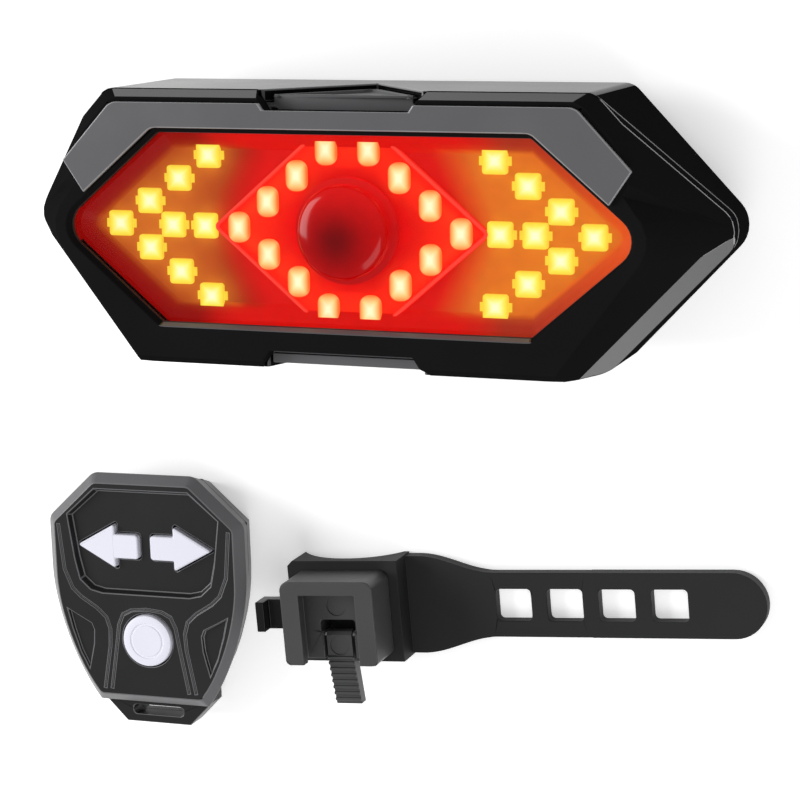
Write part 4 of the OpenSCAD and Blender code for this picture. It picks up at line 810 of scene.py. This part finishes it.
# Power button: a three-cornered soft button in the top notch, with a dished top to find by touch.
# It is moulded in silicone and held by a flange behind the housing's wall.
BUTTON_LOW_Y, BUTTON_TOP_Y, BUTTON_FRONT_Z, BUTTON_FLANGE_Z = 18.8, 21.4, RIM_Z - 0.5, 30.9
BUTTON_HALF_W, BUTTON_TIP_Z, BUTTON_FLANGE_TIP_Z = 12.05, BUTTON_APEX_Z + 0.85, BUTTON_APEX_Z - 1.2
BUTTON_CORNER = 0.8
bm = bmesh.new()
rounded_face(bm, [(-BUTTON_HALF_W, BUTTON_LOW_Y, BUTTON_FRONT_Z),
                  (BUTTON_HALF_W, BUTTON_LOW_Y, BUTTON_FRONT_Z),
                  (0, BUTTON_LOW_Y, BUTTON_TIP_Z)], (range(3), BUTTON_CORNER, 3))
raised(bm, bm.faces[:], (0, BUTTON_TOP_Y - BUTTON_LOW_Y, 0))
bm.normal_update()
top = max(bm.faces, key=lambda f: f.calc_center_median().y)
bmesh.ops.inset_region(bm, faces=[top], thickness=1.0, depth=0)
bmesh.ops.inset_region(bm, faces=[top], thickness=1.2, depth=-0.45)
button = object_from("power_button_cap", bm)
flange = [(-NOTCH_HALF_W, BUTTON_FLANGE_Z), (-NOTCH_HALF_W, BUTTON_FRONT_Z),
          (NOTCH_HALF_W, BUTTON_FRONT_Z), (NOTCH_HALF_W, BUTTON_FLANGE_Z), (0, BUTTON_FLANGE_TIP_Z)]
carve(button, ("UNION", solid("flange", None, (drum, flange, BUTTON_LOW_Y, BUTTON_FLOOR_Y, "Y"))))
soften(button, 0.12, segments=2)
button_rubber = moulded("button_rubber", tone(52, 52, 54), 0.4, 0.15, 0.6, 0.01, gloss=0.2)
finish_piece(button, (button_rubber, grey_gloss), "power_button", "soft_black", "power_button")
# Its flat front face wears the lighter grey plastic: painted light on that face.
for polygon in button.data.polygons:
    polygon.material_index = int(polygon.normal.z > 0.8)

# Port cover: a soft flap in the bottom notch that keeps water out of the charging socket.
# It is moulded in silicone, swings on a pinned knuckle at its back end and plugs into the socket.
COVER_OUT_Y, COVER_IN_Y, COVER_FRONT_Z = -21.5, -19.9, 32.0
COVER_HINGE_Y, COVER_HINGE_Z = -20.7, 18.1
COVER_FRONT_HALF_W, COVER_BACK_HALF_W = 12.8, 6.8
PLUG_X, PLUG_Z, PLUG_END_Y = (-4.0, 4.0), (23.64, 25.9), -18.5
KNUCKLE, TRUNNIONS = (0.8, 13.6), (0.5, 18.4)
flap = [(-COVER_FRONT_HALF_W, COVER_FRONT_Z), (-COVER_BACK_HALF_W, COVER_HINGE_Z),
        (COVER_BACK_HALF_W, COVER_HINGE_Z), (COVER_FRONT_HALF_W, COVER_FRONT_Z)]
hinge = (0, COVER_HINGE_Y, COVER_HINGE_Z)
cover = solid("port_cover_flap", None, (drum, flap, COVER_OUT_Y, COVER_IN_Y, "Y"),
              (drum, box_points(PLUG_X, PLUG_Z), COVER_IN_Y - 0.1, PLUG_END_Y, "Y"),
              (rod, *KNUCKLE, hinge, 24, "Y"), (rod, *TRUNNIONS, hinge, 24, "Y"))
soften(cover, 0.2, angle=50)
finish_piece(cover, (button_rubber, grey_gloss), "port_cover", "soft_black", "port_cover")
# Its flat front face wears the lighter grey plastic: painted light on that face.
for polygon in cover.data.polygons:
    polygon.material_index = int(polygon.normal.z > 0.8 and polygon.center.z > 30 * MM)

# Remote's shells: two satin black mouldings with tapered sides, screwed together from behind.
# The upper one has a bevelled rim, a dish for the arrow keys, grooves and a lanyard tab; its rim
# and rounded edges are painted lighter as highlights.
REMOTE = ((-47.2, -70.35), 1.25)
REMOTE_SIDE = [(10.62, -18.95), (19.0, -8.13), (19.0, 14.75), (9.8, 23.15)]
REMOTE_SEAM_Z, REMOTE_RIM_Z, REMOTE_FACE_Z, REMOTE_CEILING_Z = 4.6, 9.2, 10.8, 8.2
REMOTE_BEVEL, REMOTE_DRAFT, REMOTE_CAVITY = 1.6, 1.5, 3.3
TAB_SIDE, TAB_TOP_Z = [(6.25, -23.15), (10.32, -18.95), (10.32, -15.45)], 8.0
SLOT_X, SLOT_Y, SLOT_CORNER, SLOT_LOW_Z, SLOT_H = (-4.95, 4.95), (-21.7, -19.9), 0.85, 2.0, 9
DISH = [(9.2, 20.6), (14.85, 15.65), (13.75, 7.4), (12.9, 3.6), (10.9, 1.75), (8.6, 1.2)]
DISH_Z, DISH_MIDDLE, DISH_TAPER = 9.6, (0, 10.9), (0.96, 0.93, 1)
TRIANGLE = [(15.85, -1.77), (10.95, -4.32), (10.44, -5.59), (10.63, -8.31), (11.85, -12.97),
            (13.45, -9.91), (14.95, -5.43)]
TRIANGLE_Z, TRIANGLE_MIDDLE, TRIANGLE_TAPER = 10.25, (12.3, -6.5), (0.86, 0.92, 1)
OUTER_GROOVE = [(16.75, 13.6), (16.5, 10.7), (16.0, 5.35), (14.56, 1.86), (12.88, 0.27),
                (9.84, -1.63), (8.15, -3.21), (7.53, -5.28), (7.69, -8.32), (9.15, -16.2)]
CENTER_GROOVE = [(7.78, -16.2), (6.29, -7.69), (5.76, -4.32), (4.83, -2.24), (2.88, -1.28),
                 (0, -1.0)]
GROOVE_W, GROOVE_Z, CUT_TOP_Z = 0.42, (10.45, 11.3), 11.2
ARROW_KEY = [(-1.2, -2.2), (-1.2, 2.2), (-5.7, 2.2), (-5.7, 4.05), (-13.0, 0), (-5.7, -4.05),
             (-5.7, -2.2)]
ARROW_Y, MODE_Y, MODE_R = 10.0, -6.9, 4.7
KEY_GAP, KEY_HOLE_Z, KEY_HOLE_H, KEY_CORNERS = 0.25, 7.0, 4.2, (0, 1, 3, 4, 5)


def both_sides(points):
    """A right-hand outline closed by its mirror image."""
    return points + [(-x, y) for x, y in reversed(points) if x]


def grown_outline(points, amount):
    """A straight-edged outline moved outwards, whichever way it runs."""
    corners = [Vector(point) for point in points]
    pairs = list(zip(corners, corners[1:] + corners[:1]))
    reach = amount if sum(a.x * b.y - b.x * a.y for a, b in pairs) > 0 else -amount
    sides = [(b - a).normalized() for a, b in pairs]
    outs = [Vector((side.y, -side.x)) for side in sides]
    return [tuple(here + reach * ((one + two) / (1 + one.dot(two))))
            for here, one, two in zip(corners, outs[-1:] + outs[:-1], outs)]


def remote_face(bm, z, inset=0.0):
    """The remote's outline: a cut top, straight shoulders and drawn-in lower sides."""
    outline = grown_outline(both_sides(REMOTE_SIDE), -inset)
    return rounded_face(bm, [(x, y, z) for x, y in outline], ((1, 6), 13.6 - 1.15 * inset, 12),
                        ((0, 2, 3, 4, 5, 7), 0.9 - 0.2 * inset, 5))


def ribbons(bm, lines, low, high, width):
    """Upright ribbons along lines, thickened to the width of a groove."""
    for line in lines:
        chain = [bm.verts.new((x, y, low)) for x, y in line]
        edges = [bm.edges.new(pair) for pair in zip(chain, chain[1:])]
        grown = bmesh.ops.extrude_edge_only(bm, edges=edges)
        far = [v for v in grown["geom"] if isinstance(v, bmesh.types.BMVert)]
        bmesh.ops.translate(bm, verts=far, vec=(0, 0, high - low))
    bmesh.ops.recalc_face_normals(bm, faces=bm.faces)
    bmesh.ops.solidify(bm, geom=bm.faces[:], thickness=width)


def tapered(bm, points, low, middle, taper):
    """A cutter from above, drawn in towards a middle at its low end."""
    foot = drum(bm, points, CUT_TOP_Z, low)
    bmesh.ops.scale(bm, verts=foot, vec=taper,
                    space=Matrix.Translation((-middle[0], -middle[1], 0)))


bm = bmesh.new()
face_top = remote_face(bm, REMOTE_FACE_Z, REMOTE_BEVEL)
ceiling = remote_face(bm, REMOTE_CEILING_Z, REMOTE_CAVITY)
skin(bm, [list(face_top.edges),
          *(edges_of(bm, remote_face(bm, *ring)) for ring in (
              (REMOTE_RIM_Z,), (REMOTE_SEAM_Z, REMOTE_DRAFT), (REMOTE_SEAM_Z, REMOTE_CAVITY))),
          list(ceiling.edges)])
remote_shell = object_from("remote_top_cover", bm, REMOTE)
tab = solid("tab", REMOTE, (drum, both_sides(TAB_SIDE), REMOTE_SEAM_Z, TAB_TOP_Z))
slot_cut = solid("slot", REMOTE, (
    rounded, box_points(SLOT_X, SLOT_Y), SLOT_LOW_Z, SLOT_H, (range(4), SLOT_CORNER, 6)))
dish_cut = solid("dish", REMOTE, (tapered, both_sides(DISH), DISH_Z, DISH_MIDDLE, DISH_TAPER))
triangle_cut = solid("triangles", REMOTE, *(
    (tapered, [(side * x, y) for x, y in TRIANGLE], TRIANGLE_Z,
     (side * TRIANGLE_MIDDLE[0], TRIANGLE_MIDDLE[1]), TRIANGLE_TAPER) for side in (-1, 1)))
key_hole = grown_outline(ARROW_KEY, KEY_GAP)
key_holes = solid("key_holes", REMOTE, *(
    (rounded, [(-side * x, y + ARROW_Y) for x, y in key_hole], KEY_HOLE_Z, KEY_HOLE_H,
     (KEY_CORNERS, 0.7, 5)) for side in (-1, 1)),
    (rod, MODE_R + KEY_GAP, KEY_HOLE_H, (0, MODE_Y, KEY_HOLE_Z + KEY_HOLE_H / 2), 64))
groove_lines = [[(side * x, y) for x, y in OUTER_GROOVE] for side in (-1, 1)]
groove_lines.append([(-x, y) for x, y in CENTER_GROOVE[:-1]] + CENTER_GROOVE[::-1])
grooves = solid("groove", REMOTE, (ribbons, groove_lines, *GROOVE_Z, GROOVE_W))
carve(remote_shell, ("UNION", tab), *cuts(slot_cut, dish_cut, triangle_cut, grooves, key_holes))
soften(remote_shell, 0.15, segments=2, angle=28, edge_slot=1)
remote_satin = moulded("remote_satin_plastic", tone(36, 36, 37), 0.34, 0.12, 0.35, 0.01, gloss=0.25)
remote_painted_highlight = moulded("remote_rim_painted_highlight", tone(104, 104, 106), 0.3, 0.08, 0.35, 0.006, gloss=0.4)
finish_piece(remote_shell, (remote_satin, remote_painted_highlight), "remote", "black_satin", "remote_top_shell")
# The rim's slope wears the lighter grey: a painted highlight.
for polygon in remote_shell.data.polygons:
    low_z = min(remote_shell.data.vertices[i].co.z for i in polygon.vertices) / MM
    on_rim = abs(low_z - REMOTE_RIM_Z) < 0.05 and 0.3 < polygon.normal.z < 0.95
    polygon.material_index = int(on_rim)
for node, material in {
        "remote_back_shell": remote_satin, "battery_door": black_satin,
        "remote_board": board_green, "dome_switches": nickel, "coin_cell_clip": nickel,
        "remote_coin_cell": steel, "door_seal": soft_black, "remote_screws": steel}.items():
    wear(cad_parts[node], material)

# Keys of the remote: two arrow keys and a round one, moulded in white silicone.
# They stand in the shell's openings with a fine gap round them, and their edges are rounded.
KEY_FOOT_Z, ARROW_TOP_Z, MODE_TOP_Z, RING_Z = 8.0, 10.5, 11.3, 11.3 - 0.12
MODE_PROFILE = [
    (0, KEY_FOOT_Z), (MODE_R, KEY_FOOT_Z), (MODE_R, MODE_TOP_Z - 0.35),
    (MODE_R - 0.12, MODE_TOP_Z - 0.1), (MODE_R - 0.4, MODE_TOP_Z), (3.3, MODE_TOP_Z),
    (3.15, RING_Z), (2.95, RING_Z), (2.8, MODE_TOP_Z), (0, MODE_TOP_Z - 0.05)]
white_key = moulded("white_key_silicone", tone(228, 228, 240), 0.42, 0.02, 0.5, 0.004)
for name, side, body, node in (
        ("left_key_cap", 1, "left_key", "left_arrow_key"),
        ("right_key_cap", -1, "right_key", "right_arrow_key")):
    outline = [(side * x, y + ARROW_Y) for x, y in ARROW_KEY]
    key = solid(name, REMOTE, (
        rounded, outline, KEY_FOOT_Z, ARROW_TOP_Z - KEY_FOOT_Z, (KEY_CORNERS, 0.6, 5)))
    soften(key, 0.3)
    finish_piece(key, (white_key,), body, "white_key", node)
bm = turned(MODE_PROFILE)
bmesh.ops.translate(bm, verts=bm.verts, vec=(0, MODE_Y, 0))
mode_key = object_from("mode_key_cap", bm, REMOTE)
shade_smooth(mode_key)
mode_key.data.set_sharp_from_angle(angle=math.radians(30))
finish_piece(mode_key, (white_key,), "mode_key", "white_key", "mode_key")

# Bracket: the socket that the light's foot slides into, moulded in matt black plastic.
# It is a U-shaped rim with an undercut, a slit floor for the lever and a hook for the strap.
MOUNT = ((-10.7, -69.8), 4.5)
MOUNT_START = Vector((*MOUNT[0], 0))
MOUNT_BACK = Matrix.Rotation(math.radians(-MOUNT[1]), 3, "Z")
BRACKET_HALF_W, BRACKET_HALF_L, NEAR_CORNER, FAR_CORNER = 8.5, 7.4, 0.9, 1.6
PAD_Z, SOCKET_Z, LIP_Z, BRACKET_TOP_Z = 7.0, 11.0, 13.4, 15.4
SLOT_HALF_W, LIP_HALF_W, SOCKET_END_Y = 6.2, 5.1, 5.0
HOOK = [(-15.1, PAD_Z), (-8.0, PAD_Z), (-8.0, 9.2), (-13.5, 9.2), (-13.5, 11.4), (-15.1, 11.4)]
HOOK_HALF_L = 2.65
LEVER_TOP_Y, WINDOW_Y, WINDOW_X, WINDOW_CORNER = -2.6, -0.45, (-3.2, 3.2), 0.6
SLIT_X, FLOOR_CUT_Z, FLOOR_CUT_H, OPEN_END_Y = (-2.85, 2.85), 6.5, 5, -9
BORE_R, BORE_L, BORE_AT = 0.65, 13.45, (-1.875, -3.2, 9.7)
MARK_R, MARK_H = 1.75, 0.4


def ejector_mark(y):
    """A shallow round mark of the mould's ejector."""
    return solid("ejector_mark", MOUNT, (rod, MARK_R, MARK_H, (0, y, SOCKET_Z), 40))


def even_normals(piece):
    """Keeps the square flats flat and the edges crisp."""
    piece.data.set_sharp_from_angle(angle=math.radians(34))
    for face in piece.data.polygons:
        face.use_smooth = max(abs(part) for part in face.normal) < 0.999
    even = piece.modifiers.new("even_normals", "WEIGHTED_NORMAL")
    even.keep_sharp = True
    even.weight = 80


def along_mount(place):
    """How far along the strap mount a place lies, in its own millimetres."""
    return (MOUNT_BACK @ (place / MM - MOUNT_START)).x


outline = box_points((-BRACKET_HALF_W, BRACKET_HALF_W), (-BRACKET_HALF_L, BRACKET_HALF_L))
bracket = solid("bracket_socket", MOUNT, (
    rounded, outline, PAD_Z, BRACKET_TOP_Z - PAD_Z, ((0, 1), NEAR_CORNER, 5),
    ((2, 3), FAR_CORNER, 6)))
hook = solid("hook", MOUNT, (drum, HOOK, -HOOK_HALF_L, HOOK_HALF_L, "Y"))
socket = both_sides([(SLOT_HALF_W, SOCKET_Z), (SLOT_HALF_W, LIP_Z), (LIP_HALF_W, LIP_Z),
                     (LIP_HALF_W, 16.5)])
slot_cut = solid("slot", MOUNT, (drum, socket, OPEN_END_Y, SOCKET_END_Y, "Y"))
slit = box_points(SLIT_X, (OPEN_END_Y, LEVER_TOP_Y + 0.02))
slit_cut = solid("slit", MOUNT, (drum, slit, FLOOR_CUT_Z, FLOOR_CUT_Z + FLOOR_CUT_H))
window_cut = solid("window", MOUNT, (
    rounded, box_points(WINDOW_X, (LEVER_TOP_Y, WINDOW_Y)), FLOOR_CUT_Z, FLOOR_CUT_H,
    (range(4), WINDOW_CORNER, 5)))
bore_cut = solid("bore", MOUNT, (rod, BORE_R, BORE_L, BORE_AT, 20, "Y"))
carve(bracket, ("UNION", hook), *cuts(slot_cut, slit_cut, window_cut, bore_cut))
soften(bracket, 0.2, angle=30)
carve(bracket, *cuts(ejector_mark(2.0)))
even_normals(bracket)
bracket_black = moulded("bracket_matt_plastic", tone(62, 62, 63), 0.42, 0.12, 0.4, 0.015)
hook_black = moulded("polished_hook_plastic", tone(17, 17, 18), 0.25, 0.1, 0.7, 0.004, gloss=0.3)
finish_piece(bracket, (bracket_black, hook_black), "mount", "bracket_black", "bracket_body")
for polygon in bracket.data.polygons:
    polygon.material_index = int(along_mount(polygon.center) < -BRACKET_HALF_W - 0.3)
wear(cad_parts["lever_pin"], steel)

# Release lever: the latch tongue in the bracket's floor, with a ribbed thumb tab that leans down.
# It is moulded in the bracket's plastic and rocks on a steel pin.
LEVER_HALF_W, LEVER_LOW_Z = 2.35, 8.4
RIBS, RIB_START, RIB_RUN, RIB_FALL = 7, -7.5, 8.6, 2.0
lever_side = [(-3.2, LEVER_LOW_Z), (-2.55, 8.9), (-2.4, 9.7), (-2.55, 10.5), (-3.2, SOCKET_Z),
              (-6.9, SOCKET_Z), (-6.95, 11.35), (-7.35, 11.35), (-7.45, SOCKET_Z)]
for i in range(RIBS):
    share = (i + 0.6) / (RIBS + 0.4)
    y, z = RIB_START - RIB_RUN * share, SOCKET_Z - RIB_FALL * share
    lever_side += [(y + 0.36, z), (y + 0.22, z + 0.34), (y - 0.22, z + 0.3), (y - 0.36, z - 0.16)]
lever_side += [(-16.1, 8.95), (-16.1, 6.9), (-7.5, 8.6), (-7.3, LEVER_LOW_Z)]
lever = solid("release_lever_tab", MOUNT, (drum, lever_side, -LEVER_HALF_W, LEVER_HALF_W, "X"))
soften(lever, 0.1, segments=2, angle=35)
carve(lever, *cuts(ejector_mark(-5.0)))
even_normals(lever)
finish_piece(lever, (bracket_black,), "lever", "bracket_black", "release_lever")

# Strap: one silicone moulding with the saddle under the bracket, a tapering root and square holes.
# It is made in three flat stretches that meet end to end, and its saddle is hollowed to wrap a
# post.
SADDLE_HALF_W, SADDLE_HALF_L, SADDLE_CUT = 10.2, 9.0, 0.9
POST_R, POST_L, SADDLE_DEPTH = 11.1, 30, 5.04
STRAP_T, STRAP_ROOT_W, STRAP_W, STRAP_END = 2.4, 17.4, 11.4, 73.25
STRAP_START, TAPER_FROM, TAPER_TO, STATION_STEP = SADDLE_HALF_W - 1.5, 12.2, 26.15, 0.8
HOLES = [29.3 + 9.15 * i for i in range(4)]
HOLE_L, HOLE_W, HOLE_R = 6.3, 5.6, 0.8
JOINS = [24.7, 43.0]
ROUNDED_FROM = math.radians(40)


def strap_half_w(x):
    share = unit((x - TAPER_FROM) / (TAPER_TO - TAPER_FROM))
    return (STRAP_ROOT_W + (STRAP_W - STRAP_ROOT_W) * (1 - math.cos(math.pi * share)) / 2) / 2


def strap_stretch(name, low, high, holes, round_end=False):
    """A stretch of flat strap, with stations along its length and its holes cut out."""
    count = max(1, round((high - low) / STATION_STEP))
    stations = [low + (high - low) * i / count for i in range(count + 1)]
    side = [(x, strap_half_w(x)) for x in stations]
    if round_end:
        r = STRAP_W / 2
        angles = [math.radians(a) for a in range(9, 90, 9)]
        side += [(STRAP_END - r + r * math.sin(a), r * math.cos(a)) for a in angles]
        side.append((STRAP_END, 0))
    bm = bmesh.new()
    drum(bm, side + [(x, -y) for x, y in reversed(side) if y], 0, STRAP_T)
    for x in stations[1:-1]:
        sliced(bm, (x, 0, 0), (1, 0, 0))
    stretch = object_from(name, bm, MOUNT)
    cutters = []
    for x in holes:
        outline = box_points((x - HOLE_L / 2, x + HOLE_L / 2), (-HOLE_W / 2, HOLE_W / 2))
        hole = (rounded, outline, -0.5, STRAP_T + 1, (range(4), HOLE_R, 6))
        cutters.append(solid("hole", MOUNT, hole))
    if cutters:
        carve(stretch, *cuts(*cutters))
    return stretch


def soften_but_joins(stretch, width):
    """Small rounded edges, but square ends where stretches meet."""
    bm = bmesh.new()
    bm.from_mesh(stretch.data)
    weight = bm.edges.layers.float.new("bevel_weight_edge")
    for edge in bm.edges:
        reach = [along_mount(v.co) for v in edge.verts]
        at_join = any(all(abs(x - join) < 0.05 for x in reach) for join in JOINS)
        edge.smooth = not at_join
        if not at_join and len(edge.link_faces) == 2 and edge.calc_face_angle() > ROUNDED_FROM:
            edge[weight] = 1
    bm.to_mesh(stretch.data)
    bm.free()
    soften(stretch, width, segments=2)
    stretch.modifiers["round_edges"].limit_method = "WEIGHT"
    stretch.modifiers["round_edges"].use_clamp_overlap = True


strap_rubber = moulded("strap_silicone", tone(38, 38, 39), 0.55, 0.12, 0.4, 0.012, gloss=0.2)
saddle_strap = strap_stretch("saddle_and_root", STRAP_START, JOINS[0], [])
w, h, cut = SADDLE_HALF_W, SADDLE_HALF_L, SADDLE_CUT
outline = [(-w, -h + cut), (-w + cut, -h), (w, -h), (w, h), (-w + cut, h), (-w, h - cut)]
saddle = solid("saddle", MOUNT, (drum, outline, 0, PAD_Z))
post_cut = solid("post", MOUNT, (rod, POST_R, POST_L, (0, 0, SADDLE_DEPTH - POST_R), 90, "X"))
carve(saddle_strap, ("UNION", saddle), *cuts(post_cut))
strap_near = strap_stretch("strap_with_near_holes", *JOINS, HOLES[:2])
strap_far = strap_stretch(
    "strap_with_far_holes", JOINS[1], STRAP_END - STRAP_W / 2, HOLES[2:], round_end=True)
for stretch, ends, bend_x, reach, nodes in (
        (saddle_strap, ("mount", "strap_near"), 15.575, 2.9, ("strap_base", "strap_near")),
        (strap_near, ("strap_near", "strap_middle"), 33.875, 5.0, ("strap_middle",)),
        (strap_far, ("strap_middle", "strap_tip"), 52.175, 5.0, ("strap_tip",))):
    soften_but_joins(stretch, 0.3)
    wear(stretch, strap_rubber)
    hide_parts(*nodes)
    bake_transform(stretch)
